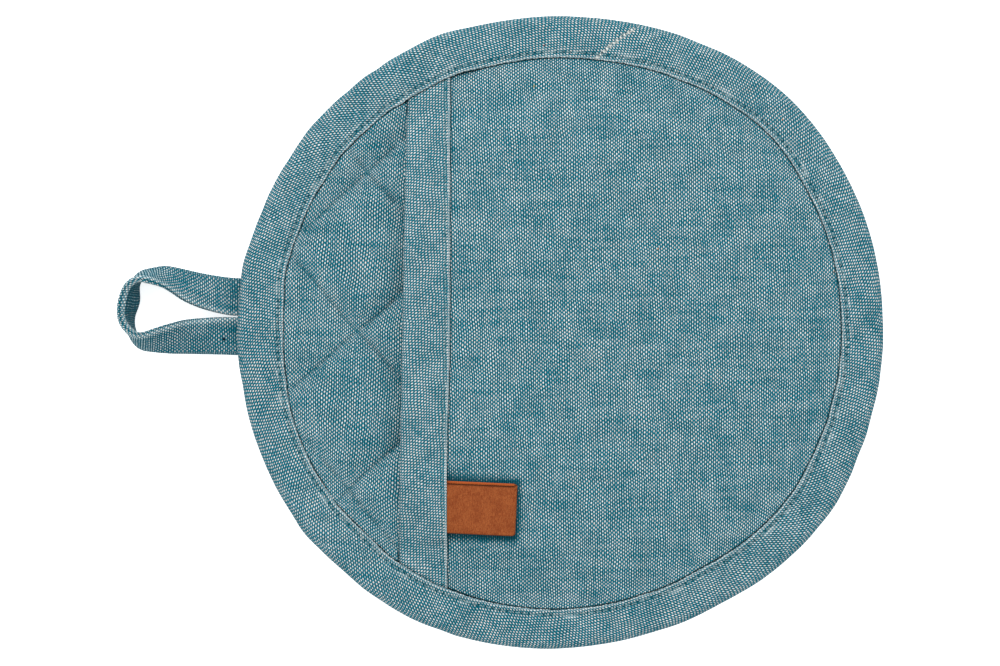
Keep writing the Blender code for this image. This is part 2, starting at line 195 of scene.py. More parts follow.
def quilt_place(x, y):
    """A point's place across and along the quilting seams."""
    turn = np.radians(QUILT_TURN)
    dx, dy = x - QUILT_CROSSING[0], y - QUILT_CROSSING[1]
    u, v = dx * np.cos(turn) + dy * np.sin(turn), dy * np.cos(turn) - dx * np.sin(turn)
    return u + strayed(v), v + strayed(u + 50)


def past_seam(along):
    """Signed distance from the nearest seam."""
    return (along + QUILT_HALF) % QUILT_PITCH - QUILT_HALF


def from_seam(along):
    return np.abs(past_seam(along))


def steep_sides(x, y):
    """For each set of seams, a point's place across them and whether it is on their steep side."""
    u, v = quilt_place(x, y)
    return ((u, past_seam(u) > 0), (v, past_seam(v) < 0))


def puff(x, y):
    """The filling's height: 0 on the quilting seams and 1 in the middle of a square."""
    filling = 1.0
    for along, steep in steep_sides(x, y):
        power = np.where(steep, PUFF_POWERS[1], PUFF_POWERS[0])
        filling = filling * (1 - (1 - from_seam(along) / QUILT_HALF) ** power)
    return filling


def puckers(x, y):
    """Short pleats that the quilting stitches pull, square to each seam and dying out beside it."""
    u, v = quilt_place(x, y)
    pleats = 0.0
    for across, along in ((u, v), (v, u)):
        pull = wave(along, QUILT_STITCH) + 0.5 * wave(along, PUCKER_LONG, 1)
        pleats = pleats + pull * np.exp(-from_seam(across) / PUCKER_REACH)
    return pleats


def lumps(x, y, size, seed):
    """Slow unevenness of stuffed cloth, from -1 to 1, with features about size across."""
    total = 0.0
    for k in range(5):
        turn = seed * 2.4 + k * 1.9
        reach = size * (0.7 + 0.25 * k)
        run = x * np.cos(turn) + y * np.sin(turn)
        total = total + np.sin(2 * np.pi * run / reach + seed * (k + 1) * 3.1)
    return total / 5


def touching(x, y):
    """Where the cloth meets the binding's folded edge sooner or later, from -1 to 1."""
    return lumps(x, y, 9, 6.6)


def mouth_x(y):
    return MOUTH_X + MOUTH_LEAN * y


def arch(x, y):
    """How far the pocket stands above the pad: most at the mouth, none along the rim."""
    inside = inside_fold(x, y)
    half_width = np.sqrt(np.maximum((np.hypot(x, y) + inside) ** 2 - x**2, 1.0))
    across = 1 - np.minimum(np.abs(y) / half_width, 1) ** ARCH_POWER
    rise = MOUTH_ARCH * (1 - ease(MOUTH_X, ARCH_END_X, x)) * across
    return rise * ease(0, SEAM_RISE, inside)


def shoulder(inside):
    """The roll of a cloth that comes out from under the binding's folded edge."""
    return ease(*ROLL_RISE, inside) * (1 - 0.8 * ease(*ROLL_FALL, inside))


def pocket_cloth_top(x, y):
    """The pocket's surface: its arch, the quilting felt through it, slow waves and edge pleats."""
    inside, angle = inside_fold(x, y), angle_of(x, y)
    edge = PANEL_EDGE_TOP + PLAY * (1 - ease(*PANEL_PAST_STRIP, x))
    felt = PANEL_FELT * (puff(x, y) - 0.6) * ease(-30, 10, x)
    waves = PANEL_WAVES * lumps(x, y, 46, 2.2)
    pleats = PANEL_PLEATS * (np.sin(np.radians(angle * 61)) + np.sin(np.radians(angle * 37 + 40)))
    relief = (felt + waves) * ease(0, 14, inside) + pleats * bell(inside - 3, 3)
    level = mix(edge, PANEL_TOP, ease(0, SEAM_RISE, inside))
    return level + arch(x, y) + relief + PANEL_ROLL * shoulder(inside)


def under_strip(x, y):
    """The underside of the strip folded over the pocket's mouth."""
    return pocket_cloth_top(x, y) - CLOTH - STRIP_SPACE - STRIP_LEAF


def beneath_strip(x, y):
    """The most that the pad may rise: left of the strip all it wants, then under its round fold."""
    past = x - mouth_x(y)
    turned = np.clip(past / STRIP_ROUND, 0, 1)
    middle = pocket_cloth_top(x, y) - (CLOTH + STRIP_ROLL) / 2
    low = under_strip(x, y) - STRIP_ROLL * (1 - ease(3, 6, past)) - PAD_PLAY
    return np.where(past < -0.1, 30.0, mix(middle, low, np.sqrt(turned * (2 - turned))))


def pad_front(x, y):
    """Puffed squares with a sharp crease at each seam, rolled up beside the binding."""
    inside, angle = inside_fold(x, y), angle_of(x, y)
    flat_edge = PAD_EDGE_TOP + LOOP_RIM_RISE * on_loop(angle)
    pressed = ease(*PAD_TO_POCKET, x) + ease(*PAD_TO_STRIP, x) * (1 - ease(*PAST_STRIP, x))
    caught = flat_edge - PAD_PLAY - PAD_PRESSED * pressed
    bare = flat_edge + PAD_ROLL + PAD_CORNER_RISE * ease(*PAD_TO_STRIP, x)
    edge = mix(caught, bare, ease(-0.1, 0.4, inside + 0.35 * touching(x, y)))
    u, v = quilt_place(x, y)
    crease = bell(np.minimum(from_seam(u), from_seam(v)), PAD_CREASE_HALF)
    quilt = mix(PAD_SEAM, PAD_CROWN, puff(x, y))
    quilt = quilt + PAD_PUCKERS * puckers(x, y) + PAD_LUMPS * lumps(x, y, 26, 1.3)
    across = 1 - np.minimum(np.abs(y) / PAD_MOUTH_HALF, 1) ** 3
    by_mouth = ease(-74, -55, x) * (1 - ease(1, 12, x - mouth_x(y)))
    quilt = quilt + PAD_MOUTH_RISE * by_mouth * across * puff(x, y) ** 0.9
    height = mix(edge, quilt, ease(1.0, 9.0, inside)) - PAD_CREASE * crease * ease(0.3, 1.5, inside)
    return np.minimum(height, beneath_strip(x, y))


def pad_back(x, y):
    """The quilted back: flat squares on the table, with channels drawn up at the seams."""
    inside = inside_fold(x, y)
    u, v = quilt_place(x, y)
    drawn = 1 - np.minimum(from_seam(u), from_seam(v)) / PAD_BACK_CHANNEL
    quilt = PAD_BACK_LIFT * np.clip(drawn, 0, 1) ** 1.4
    edge = LOOP_LIFT * on_loop(angle_of(x, y)) + LEAF
    return np.maximum(quilt, mix(edge, 0, ease(0.6, 11, inside)))


def at_angle(angle, radius):
    """Where a radius in a direction ends."""
    return radius * np.cos(np.radians(angle)), radius * np.sin(np.radians(angle))


FINE_STEP = 0.6  # between places along folds and creases
FOLD_ROWS = (-9, -6, -3, -1, -0.2, 0.05, 0.25, 0.45, 0.7, 1.1, 1.7, 2.6)  # inwards from the fold
FOLD_CLEAR = 3.6  # where the other places begin


def beside_fold(first, last):
    """Rows of places that follow the binding's fold between two directions."""
    angles = np.arange(first, last, np.degrees(FINE_STEP / (RADIUS - RIM_WIDTH)))
    rows = [at_angle(angles, fold_radius(angles % 360) - inside) for inside in FOLD_ROWS]
    return np.concatenate([np.stack(row, 1) for row in rows])


def grid(across, along):
    return np.stack(np.meshgrid(across, along, indexing="ij"), 2).reshape(-1, 2)


def beside_line(rows, line_x):
    """Rows of places that follow a line running up the pad, so far to the right of it."""
    places = grid(rows, np.arange(-84, 84, FINE_STEP))
    places[:, 0] += line_x(places[:, 1])
    return places


def cut_cloth(outline, places):
    """Points and triangles of a piece of cloth, from its cut line and the places inside it."""
    corners = [Vector(corner) for corner in np.concatenate([outline, places]).tolist()]
    found = delaunay_2d_cdt(corners, [], [list(range(len(outline)))], 1, 0, False)
    points, triangles = np.array([tuple(point) for point in found[0]]), np.array(found[2])
    first, second, third = np.sort(triangles, axis=1).T
    inward = np.cross(points[second] - points[first], points[third] - points[first]) > 0
    return points[:, 0], points[:, 1], triangles[inward | (third >= len(outline))]


def two_sided(x, y, triangles, cut, over, under):
    """Points and faces of a cloth with a front and a back, closed along its cut line's points."""
    count = len(x)
    points = np.concatenate([np.stack([x, y, over], 1), np.stack([x, y, under], 1)])
    start, end = np.arange(cut), (np.arange(cut) + 1) % cut
    walls = np.stack([end, start, start + count, end + count], 1)
    return points, triangles.tolist() + (triangles[:, ::-1] + count).tolist() + walls.tolist()


def in_yarns(x, y, lean, start=(0.0, 0.0)):
    """Cloth's own coordinates: across its white yarns, which lean from +Y, and along them."""
    turn = np.radians(lean)
    across = x * np.cos(turn) + y * np.sin(turn) + start[0]
    return across, y * np.cos(turn) - x * np.sin(turn) + start[1]


def drawn_in(x, y):
    """Places as the flat cloth had them: beside the binding it is gathered and slopes down."""
    inside, angle = inside_fold(x, y), np.radians(angle_of(x, y))
    added = GATHER_SLACK * GATHER_REACH * np.exp(-np.maximum(inside, -2) / GATHER_REACH)
    return x + added * np.cos(angle), y + added * np.sin(angle)


def make_piece(name, points, faces, material, yarns, marks_and_painted_light):
    """A mesh object of points in millimetres; yarns are its cloth coordinates, the last its rubbing and
    marks with their painted highlight and painted shade.
    """
    mesh = bpy.data.meshes.new(name)
    mesh.from_pydata((points * MM).tolist(), [], faces)
    cloth = np.zeros((len(points), 3), np.float32)
    cloth[:, 0], cloth[:, 1], cloth[:, 2] = yarns[0], yarns[1], marks_and_painted_light
    held = mesh.attributes.new("yarns", "FLOAT_VECTOR", "POINT")
    held.data.foreach_set("vector", cloth.ravel())
    mesh.materials.append(material)
    mesh.shade_smooth()
    piece = bpy.data.objects.new(name, mesh)
    bpy.context.scene.collection.objects.link(piece)
    return piece


def feed(socket, value):
    """Set a material's socket to a number or a colour, or link another socket into it."""
    if isinstance(value, bpy.types.NodeSocket):
        socket.id_data.links.new(value, socket)
    else:
        socket.default_value = (*value, 1.0) if isinstance(value, tuple) else value


def maths(operation, *values):
    """The result of a Math node; the first value is a socket, the others sockets or numbers."""
    node = values[0].id_data.nodes.new("ShaderNodeMath")
    node.operation = operation
    for socket, value in zip(node.inputs, values):
        feed(socket, value)
    return node.outputs[0]


def fade(value, low, high, start, end):
    """start below low and end above high, with an even ease between them."""
    node = value.id_data.nodes.new("ShaderNodeMapRange")
    node.interpolation_type = "SMOOTHSTEP"
    names = ("Value", "From Min", "From Max", "To Min", "To Max")
    for name, number in zip(names, (value, low, high, start, end)):
        feed(node.inputs[name], number)
    return node.outputs["Result"]


def colours_between(share, first, second):
    """A colour that goes from first to second, each of them a socket or a colour."""
    node = share.id_data.nodes.new("ShaderNodeMix")
    node.data_type = "RGBA"
    feed(node.inputs["Factor"], share)
    feed(node.inputs[6], first)
    feed(node.inputs[7], second)
    return node.outputs[2]


def dyed(colour, shares):
    """A colour of which all parts, or each by its own share, are brought up or down."""
    return tuple(np.multiply(colour, shares).tolist())


def noise(place, scale, detail):
    """Noise from 0 to 1 in a plane; gives its value and its colour."""
    node = place.id_data.nodes.new("ShaderNodeTexNoise")
    node.noise_dimensions = "2D"
    feed(node.inputs["Vector"], place)
    node.inputs["Scale"].default_value = scale
    node.inputs["Detail"].default_value = detail
    return node.outputs["Fac"], node.outputs["Color"]


def flat_place(x, y):
    node = x.id_data.nodes.new("ShaderNodeCombineXYZ")
    feed(node.inputs[0], x)
    feed(node.inputs[1], y)
    return node.outputs[0]


def parts_of(vector):
    """The three numbers of a vector or a colour."""
    node = vector.id_data.nodes.new("ShaderNodeSeparateXYZ")
    feed(node.inputs[0], vector)
    return node.outputs


def new_material(name, roughness, specular):
    """A material, its shader, and the three numbers that make_piece keeps at every point."""
    material = bpy.data.materials.new(name)
    material.use_nodes = True
    nodes = material.node_tree.nodes
    shader = nodes["Principled BSDF"]
    shader.inputs["Roughness"].default_value = roughness
    shader.inputs["Specular IOR Level"].default_value = specular
    held = nodes.new("ShaderNodeAttribute")
    held.attribute_name = "yarns"
    return material, shader, parts_of(held.outputs["Vector"])


def add_bump(shader, height, strength, depth):
    """Fine relief from a height socket, whose 1 stands for so many millimetres."""
    bump = shader.id_data.nodes.new("ShaderNodeBump")
    bump.inputs["Strength"].default_value = strength
    bump.inputs["Distance"].default_value = depth * MM
    feed(bump.inputs["Height"], height)
    feed(shader.inputs["Normal"], bump.outputs["Normal"])


WHITE_PITCH = 0.735
TEAL_PITCH = 0.62
WHITE_COTTON = (0.71, 0.73, 0.74)
TEAL_COTTON = (0.002, 0.184, 0.258)
# Rubbing with painted highlight pales the cloth towards the first colour below; painted shade darkens
# it towards the second.
RUBBING_AND_HIGHLIGHT_COTTON = (0.54, 0.67, 0.69)
PAINTED_SHADE_TEAL = (0.002, 0.03, 0.045)
YARN_WANDER = 0.9  # how far its yarns stray from straight
WHITE_SEEN = (0.79, 1.10)  # the lead at which a white yarn begins to show, and covers the teal one
YARN_ROUND = 0.85


def woven_cotton(name):
    """Plain weave drawn yarn by yarn: white yarns over and under teal ones, both uneven in the spin."""
    material, shader, (x, y, marks_and_painted_light) = new_material(name, 0.9, 0.05)
    shader.inputs["Sheen Weight"].default_value = 0.02
    shader.inputs["Sheen Roughness"].default_value = 0.5
    place = flat_place(x, y)

    drift = parts_of(noise(place, 0.16, 1.0)[1])
    x = maths("MULTIPLY_ADD", drift[0], YARN_WANDER, x)
    y = maths("MULTIPLY_ADD", drift[1], YARN_WANDER, y)
    across, along = maths("DIVIDE", x, WHITE_PITCH), maths("DIVIDE", y, TEAL_PITCH)
    white_yarn, teal_yarn = maths("FLOOR", across), maths("FLOOR", along)

    def spin(yarn, run, per_mm, seed):
        """Thick and thin, light and dark places along each yarn, from 0 to 1."""
        spot = flat_place(maths("MULTIPLY_ADD", yarn, 7.31, seed), maths("MULTIPLY", run, per_mm))
        return noise(spot, 1.0, 3.0)[0]

    white_spin, teal_spin = spin(white_yarn, y, 0.10, 3.7), spin(teal_yarn, x, 0.07, 91.3)
    clouds = noise(place, 0.12, 4.0)[0]
    crossing = material.node_tree.nodes.new("ShaderNodeTexWhiteNoise")
    crossing.noise_dimensions = "2D"
    feed(crossing.inputs["Vector"], flat_place(white_yarn, teal_yarn))
    chance = crossing.outputs["Value"]

    across_wave = maths("SINE", maths("MULTIPLY", across, np.pi))
    along_wave = maths("SINE", maths("MULTIPLY", along, np.pi))
    both = maths("MULTIPLY", maths("SIGN", across_wave), maths("SIGN", along_wave))
    white_round, teal_round = maths("ABSOLUTE", across_wave), maths("ABSOLUTE", along_wave)

    # What decides whether the white yarn shows at a crossing: roundness, spin, painted shade, and
    # rubbing with painted highlight.
    rubbing_and_highlight = maths("MAXIMUM", marks_and_painted_light, 0.0)
    painted_shade = maths("MAXIMUM", maths("MULTIPLY", marks_and_painted_light, -1.0), 0.0)
    lead = maths("MULTIPLY_ADD", teal_round, 0.22, white_round)
    lead = maths("ADD", lead, fade(white_spin, 0.25, 0.75, -0.09, 0.09))
    lead = maths("ADD", lead, fade(teal_spin, 0.25, 0.75, 0.12, -0.12))
    lead = maths("ADD", lead, fade(clouds, 0.25, 0.75, -0.04, 0.04))
    lead = maths("MULTIPLY_ADD", chance, 0.10, lead)
    lead = maths("MULTIPLY_ADD", rubbing_and_highlight, 0.4, lead)
    lead = maths("MULTIPLY_ADD", painted_shade, -0.5, lead)
    is_white = maths("MULTIPLY", fade(lead, *WHITE_SEEN, 0.0, 1.0), maths("MAXIMUM", both, 0.0))
    white_rise = maths("MULTIPLY", both, teal_round)
    teal_rise = maths("MULTIPLY", both, white_round)
    white_top = maths("MULTIPLY_ADD", white_round, YARN_ROUND, white_rise)
    teal_top = maths("SUBTRACT", maths("MULTIPLY", teal_round, YARN_ROUND), teal_rise)

    creamy = colours_between(chance, dyed(WHITE_COTTON, (0.92, 0.88, 0.80)), WHITE_COTTON)
    spun = fade(white_spin, 0.3, 0.7, 0.0, 1.0)
    white_cloth = colours_between(spun, dyed(WHITE_COTTON, 0.80), creamy)
    paler_teal = tuple(mix(teal, white, 0.03) for teal, white in zip(TEAL_COTTON, WHITE_COTTON))
    spun = fade(teal_spin, 0.28, 0.72, 0.0, 1.0)
    teal_cloth = colours_between(spun, paler_teal, dyed(TEAL_COTTON, 0.90))
    cloth = colours_between(is_white, teal_cloth, white_cloth)

    # Painted shade in the hollows between the yarns, and the fibres' light and dark.
    between_whites = maths("MULTIPLY_ADD", maths("POWER", white_round, 0.85), 0.95, 0.05)
    between_teals = maths("MULTIPLY_ADD", teal_round, 0.13, 0.87)
    hollow = maths("MULTIPLY", between_whites, between_teals)
    hollow = maths("MULTIPLY", hollow, fade(clouds, 0.25, 0.75, 0.92, 1.05))
    fibres = noise(place, 2.3, 2.0)[0]
    hollow = maths("MULTIPLY", hollow, fade(fibres, 0.28, 0.72, 0.80, 1.16))
    cloth_shade = material.node_tree.nodes.new("ShaderNodeMix")
    cloth_shade.data_type = "RGBA"
    cloth_shade.blend_type = "MULTIPLY"
    cloth_shade.inputs["Factor"].default_value = 1.0
    feed(cloth_shade.inputs[6], cloth)
    feed(cloth_shade.inputs[7], hollow)
    # Rubbing and painted highlight pale the cloth; painted shade darkens it to deep teal.
    lightened = colours_between(maths("MULTIPLY", rubbing_and_highlight, 0.3), cloth_shade.outputs[2], RUBBING_AND_HIGHLIGHT_COTTON)
    feed(shader.inputs["Base Color"], colours_between(painted_shade, lightened, PAINTED_SHADE_TEAL))
    add_bump(shader, maths("MAXIMUM", white_top, teal_top), 0.5, 0.1)
    return material


chambray = woven_cotton("chambray_cotton")


CREVICE_HALF = 0.35
HOLE_HALF = 0.35
# how dark the painted shade in the fold's crevice and the quilting needle holes is
CREVICE_PAINTED_SHADE = 0.45
CROWDING = (0.5, 1.7)  # slack of the cloth on the slack and on the steep side of each seam
CROWD_REACH = 2.2
CREASE_ROWS = (-1.1, -0.7, -0.35, 0, 0.35, 0.7, 1.1)
MOUTH_ROWS = (-1.2, -0.6, -0.15, 0.0, 0.25, 0.6, 1.1, 1.6)
PAD_SHOWN_TO = -46.0  # the pocket covers the pad from here on
CREASES_TO = -54.0


def crevice(x, y):
    """The painted shade along the binding's fold, broken where the cloth under it rises to meet it."""
    gap = 0.6 - 0.4 * touching(x, y)
    return gap * bell(inside_fold(x, y) - 0.1, CREVICE_HALF)


def unquilted(u, v):
    """The place of a point given across and along the quilting seams."""
    turn = np.radians(QUILT_TURN)
    u, v = u - strayed(v), v - strayed(u + 50)
    x = QUILT_CROSSING[0] + u * np.cos(turn) - v * np.sin(turn)
    return x, QUILT_CROSSING[1] + u * np.sin(turn) + v * np.cos(turn)


def crowded(along, steep):
    """A place across the seams as the flat cloth had it: its yarns crowd on the slopes beside them."""
    slack, off = np.where(steep, CROWDING[1], CROWDING[0]), from_seam(along)
    crowd = slack * (1 - np.exp(-off / CROWD_REACH) - off / QUILT_HALF)
    return along + np.sign(past_seam(along)) * crowd


def needle_hole(along, pitch):
    """1 where the needle went in, once in every pitch."""
    return np.maximum(wave(along, pitch), 0) ** 2


def stitch_holes(x, y):
    """1 where the quilting needle went in, along both sets of seams."""
    u, v = quilt_place(x, y)
    holes = 0.0
    for across, along in ((u, v), (v, u)):
        in_seam = bell(from_seam(across), HOLE_HALF)
        holes = np.maximum(holes, needle_hole(along, QUILT_STITCH) * in_seam)
    return holes


def crease_places():
    """Close rows of places along the seams, where the pad shows beside the pocket."""
    rows = []
    for seam in QUILT_SEAMS:
        across = seam * QUILT_PITCH + np.array(CREASE_ROWS)
        band = grid(across, np.arange(-120, 120, FINE_STEP))
        rows.append(np.stack(unquilted(*band.T), 1))
        clear = from_seam(band[:, 1]) > 1.3
        rows.append(np.stack(unquilted(*band[clear][:, ::-1].T), 1))
    places = np.concatenate(rows)
    return places[places[:, 0] < CREASES_TO]


angles = np.arange(0, 360, 0.4)
cut_line = np.stack(at_angle(angles, outline_radius(angles) - PAD_INSET), 1)
lines = np.arange(-96, 97) * QUILT_GRID
squares = grid(lines, lines)
shows = unquilted(*squares.T)[0] < PAD_SHOWN_TO
by_seam = np.minimum(from_seam(squares[:, 0]), from_seam(squares[:, 1])) < 1.2
squares = np.stack(unquilted(*squares[~(shows & by_seam)].T), 1)
past = squares[:, 0] - mouth_x(squares[:, 1])
squares = squares[(past < -2) | (past > 2.4)]
inner = np.concatenate([squares, crease_places(), beside_line(MOUTH_ROWS, mouth_x)])
inner = inner[inside_fold(*inner.T) > FOLD_CLEAR]
x, y, triangles = cut_cloth(cut_line, np.concatenate([beside_fold(0, 360), inner]))
points, faces = two_sided(x, y, triangles, len(cut_line), pad_front(x, y), pad_back(x, y))
flat_x, flat_y = unquilted(*(crowded(*side) for side in steep_sides(x, y)))
gathered_x, gathered_y = drawn_in(x, y)
front_yarns = in_yarns(flat_x + gathered_x - x, flat_y + gathered_y - y, PAD_TURN)
back_yarns = in_yarns(flat_x, flat_y, PAD_BACK_TURN, PAD_BACK_START)
yarns = [np.concatenate(pair) for pair in zip(front_yarns, back_yarns)]
# Painted shade in the quilting needle holes and along the binding's fold.
marks_and_painted_light = np.tile(-CREVICE_PAINTED_SHADE * np.maximum(stitch_holes(x, y), crevice(x, y)), 2)
quilted_pad = make_piece("quilted_pad_cloth", points, faces, chambray, yarns, marks_and_painted_light)
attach(quilted_pad, "root")
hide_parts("quilted_pad")


# ---------------------------------------------------------------------------------------------
# The pocket. One sheet of the same cotton over three quarters of the round, its raw edge caught
# under the binding and its mouth open to the left.

STRIP_RIGHT_X = -37.05
STRIP_RIGHT_BEND = 1.0  # how far its upper half stands to the right
PANEL_INSET = 2.8
PANEL_GRID = 1.5
TAB_CORNER = (-37.0, -49.3)
TAB_TURN = -2.6
TAB_WIDTH, TAB_LENGTH = 16.0, 22.8
TAB_OVERHANG, TAB_TAIL = 1.0, 3.0
TAB_SHADE_PAST, TAB_SHADE_BESIDE = 1.3, 2.0
PANEL_LEAN, PANEL_BEND = 0.0305, 0.000121  # of its white yarns, per mm and per mm squared
PANEL_TURN = 2.0
PANEL_START = (37.0, 811.0)
# how dark the painted shadow beside the tab and the painted shade along the fold are
PANEL_PAINTED_SHADE = 0.7
STRIP_ROWS = (-2.2, -1.4, -0.7, -0.2, 0.1, 0.3, 0.5, 0.8, 1.3, 2.0)


def strip_right_x(y):
    return STRIP_RIGHT_X + STRIP_RIGHT_BEND * ease(-45, 0, y)


def beside_tab(y, play, ramp):
    """1 between the tab's long edges, with some play, and none beyond them."""
    low, high = TAB_CORNER[1] - TAB_WIDTH - play, TAB_CORNER[1] + TAB_OVERHANG + play
    return ease(low - ramp, low, y) * (1 - ease(high, high + ramp, y))


def held_down(x, y):
    """The strip's stitches press the pocket down, and it rolls up again beside the strip."""
    past = x - strip_right_x(y)
    roll = 0.45 * ease(0.1, 0.6, past) * (1 - ease(2, 9, past)) * (1 - beside_tab(y, 1.0, 4.0))
    return roll - 0.4 * bell(past + 1.0, 1.2)


def tab_shade(x, y):
    """Painted shadow on the pocket close beside the tab: 1 at its edges, none 5 mm away."""
    turn = np.radians(TAB_TURN)
    dx, dy = x - TAB_CORNER[0], y - TAB_CORNER[1]
    along = dx * np.cos(turn) + dy * np.sin(turn)
    down = dx * np.sin(turn) - dy * np.cos(turn)
    past = np.maximum(along - TAB_LENGTH, 0)
    beside = np.maximum(np.maximum(down - TAB_WIDTH, -TAB_OVERHANG - down), 0)
    return np.exp(-((past / TAB_SHADE_PAST) ** 2) - (beside / TAB_SHADE_BESIDE) ** 2)


def panel_left(y):
    return mouth_x(y) + STRIP_NOSE + PLAY


def pocket_yarns(x, y):
    """The pocket's cloth coordinates: its white yarns lean a little more towards the top."""
    x, y = drawn_in(x, y)
    across = x + PANEL_LEAN * y + PANEL_BEND * y**2
    return across + PANEL_START[0], in_yarns(x, y, PANEL_TURN, PANEL_START)[1]


angles = np.arange(-160, 160, 0.35)
arc_x, arc_y = at_angle(angles, outline_radius(angles % 360) - PANEL_INSET)
shown = arc_x > panel_left(arc_y)
arc = np.stack([arc_x[shown], arc_y[shown]], 1)
mouth_y = np.arange(arc[-1, 1] - 0.8, arc[0, 1] + 0.8, -1.0)
cut_line = np.concatenate([arc, np.stack([panel_left(mouth_y), mouth_y], 1)])
squares = grid(np.arange(-52, 100, PANEL_GRID), np.arange(-96, 96, PANEL_GRID))
past_edge = squares[:, 0] - strip_right_x(squares[:, 1])
squares = squares[(past_edge < -3) | (past_edge > 2.8)]
squares = squares[tab_shade(*squares.T) < 0.01]
by_tab = grid(np.arange(-34, -8, 0.7), np.arange(-74, -42, 0.7))
by_tab = by_tab[tab_shade(*by_tab.T) >= 0.01]
inner = np.concatenate([squares, beside_line(STRIP_ROWS, strip_right_x), by_tab])
inner = inner[inside_fold(*inner.T) > FOLD_CLEAR]
places = np.concatenate([beside_fold(-150, 150), inner])
places = places[places[:, 0] > panel_left(places[:, 1]) + 0.5]
x, y, triangles = cut_cloth(cut_line, places)
top = pocket_cloth_top(x, y) + held_down(x, y)
points, faces = two_sided(x, y, triangles, len(cut_line), top, top - CLOTH)
yarns = [np.tile(run, 2) for run in pocket_yarns(x, y)]
# Painted shadow beside the tab and painted shade along the binding's fold.
marks_and_painted_light = np.tile(-PANEL_PAINTED_SHADE * np.maximum(tab_shade(x, y), crevice(x, y)), 2)
pocket = make_piece("pocket_cloth", points, faces, chambray, yarns, marks_and_painted_light)
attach(pocket, "root")
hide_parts("pocket_panel")


# ---------------------------------------------------------------------------------------------
# The mouth strip. A bias strip of the cotton folded over the pocket's mouth, both its leaves sewn
# down by one row of stitches along the right edge. Its ends go under the binding.

STRIP_INSET = 3.4
STRIP_BEND_FROM, STRIP_LAST = 62.0, 85.0
STRIP_LIP = 0.45
STRIP_RUBBED = 0.06  # wear all over its front
EDGE_RUBBING_AND_HIGHLIGHT = 0.8  # rubbing along the rolled edges of strip and binding, with a painted highlight
STRIP_FACE = (0.5, 0.75, 1.0, 1.25, 1.5, 1.75, 2.0, 2.3, 2.7, 3.2, 3.8)  # inwards from its right edge
STRIP_BIAS = ((0.684, -0.776), (0.692, 0.694))  # white and teal yarns, across the strip and along it
STRIP_STARTS = (513, 270)
STRIP_INNER_RUNS = (60, 90)  # where in the cloth its leaves' inner sides begin
STRIP_GROOVE, STRIP_STITCH_RELIEF = 0.26, 0.10
STRIP_PLEATS = ((0.06, 4.8, 0.0), (0.05, 7.1, 1.3))  # height, length, phase
STRIP_SEAM = 1.5  # from its right edge
STITCH_PITCH = 2.4
THREAD = 0.34  # the sewing thread's thickness
TAB_TAILS_RISE = 2.1


def strip_y(x, station):
    """The y of a section of the strip at x: the sections bend to follow the outline at its ends."""
    side = np.sign(station)
    y = side * np.sqrt(RADIUS**2 - x**2)
    for _ in range(4):
        y = side * np.sqrt((outline_radius(angle_of(x, y)) - STRIP_INSET) ** 2 - x**2)
    bent = ease(STRIP_BEND_FROM, STRIP_LAST, np.abs(station))
    return station * mix(1.0, np.abs(y) / STRIP_LAST, bent)


def tab_bump(x, y):
    """How far the tab's sewn ends raise the strip's right edge."""
    right = strip_right_x(y) - TAB_TAIL - 0.5
    return TAB_TAILS_RISE * ease(right - 7.0, right, x) * beside_tab(y, 1.0, 4.0)


def strip_relief(x, y):
    """The groove of its stitches, the pleats they pull aslant, and slow waves between them."""
    inside = strip_right_x(y) - x
    stitch = wave(y, STITCH_PITCH)
    in_seam = bell(inside - STRIP_SEAM, 0.5)
    groove = (STRIP_GROOVE - STRIP_STITCH_RELIEF * stitch) * in_seam
    slant = y + 0.9 * inside
    pleats = sum(height * wave(slant, size, phase) for height, size, phase in STRIP_PLEATS)
    pleats = pleats * bell(inside - 3.2, 2.6)
    return pleats + 0.10 * lumps(x, 0.6 * y, 19, 4.1) - groove


def strip_top(x, y):
    cloth = pocket_cloth_top(x, y)
    return cloth + STRIP_SPACE + STRIP_LEAF + tab_bump(x, y) + strip_relief(x, y)


def rounded(start, end, count):
    """Angles in radians from start to end in degrees, without the two ends."""
    return np.radians(np.linspace(start, end, count + 2)[1:-1])


def rubbing_and_lit_places(run, size, seed):
    """How pale an edge is along its run, from rubbing and a painted highlight."""
    return 0.7 + 0.48 * lumps(run, 0 * run, size, seed)


stations = np.arange(-STRIP_LAST, STRIP_LAST + 0.01, STITCH_PITCH / 4)
left, right = mouth_x(stations), strip_right_x(stations)
round_x, face_x = left + STRIP_ROUND, right - STRIP_FACE[0]
section_x, section_z, section_run, section_marks_and_light = [], [], [], []


def add_point(x, z, run, marks_and_painted_light=0.0):
    """One point of every section: its place, the cloth's unfolded run there, and its rubbing with
    painted highlight and painted shade.
    """
    section_x.append(x)
    section_z.append(z)
    section_run.append(run + 0 * stations)
    section_marks_and_light.append(marks_and_painted_light + 0 * stations)


# Its front leaf, from the stitched edge to the fold.
edge_rubbing_and_light = rubbing_and_lit_places(stations, 9, 7.7)
for inside in STRIP_FACE:
    x = right - inside
    in_seam = bell(inside - STRIP_SEAM, 0.3)
    # Painted shade in the needle holes; rubbing with a painted highlight along the rolled edge.
    dark = -0.6 * needle_hole(stations, STITCH_PITCH) * in_seam
    light = EDGE_RUBBING_AND_HIGHLIGHT * edge_rubbing_and_light * (1 - ease(0.5, 0.9, inside))
    add_point(x, strip_top(x, strip_y(x, stations)), x, STRIP_RUBBED + dark + light)
for share in np.linspace(0, 1, 17)[1:]:
    x = mix(right - STRIP_FACE[-1], round_x, share)
    add_point(x, strip_top(x, strip_y(x, stations)), x, STRIP_RUBBED)

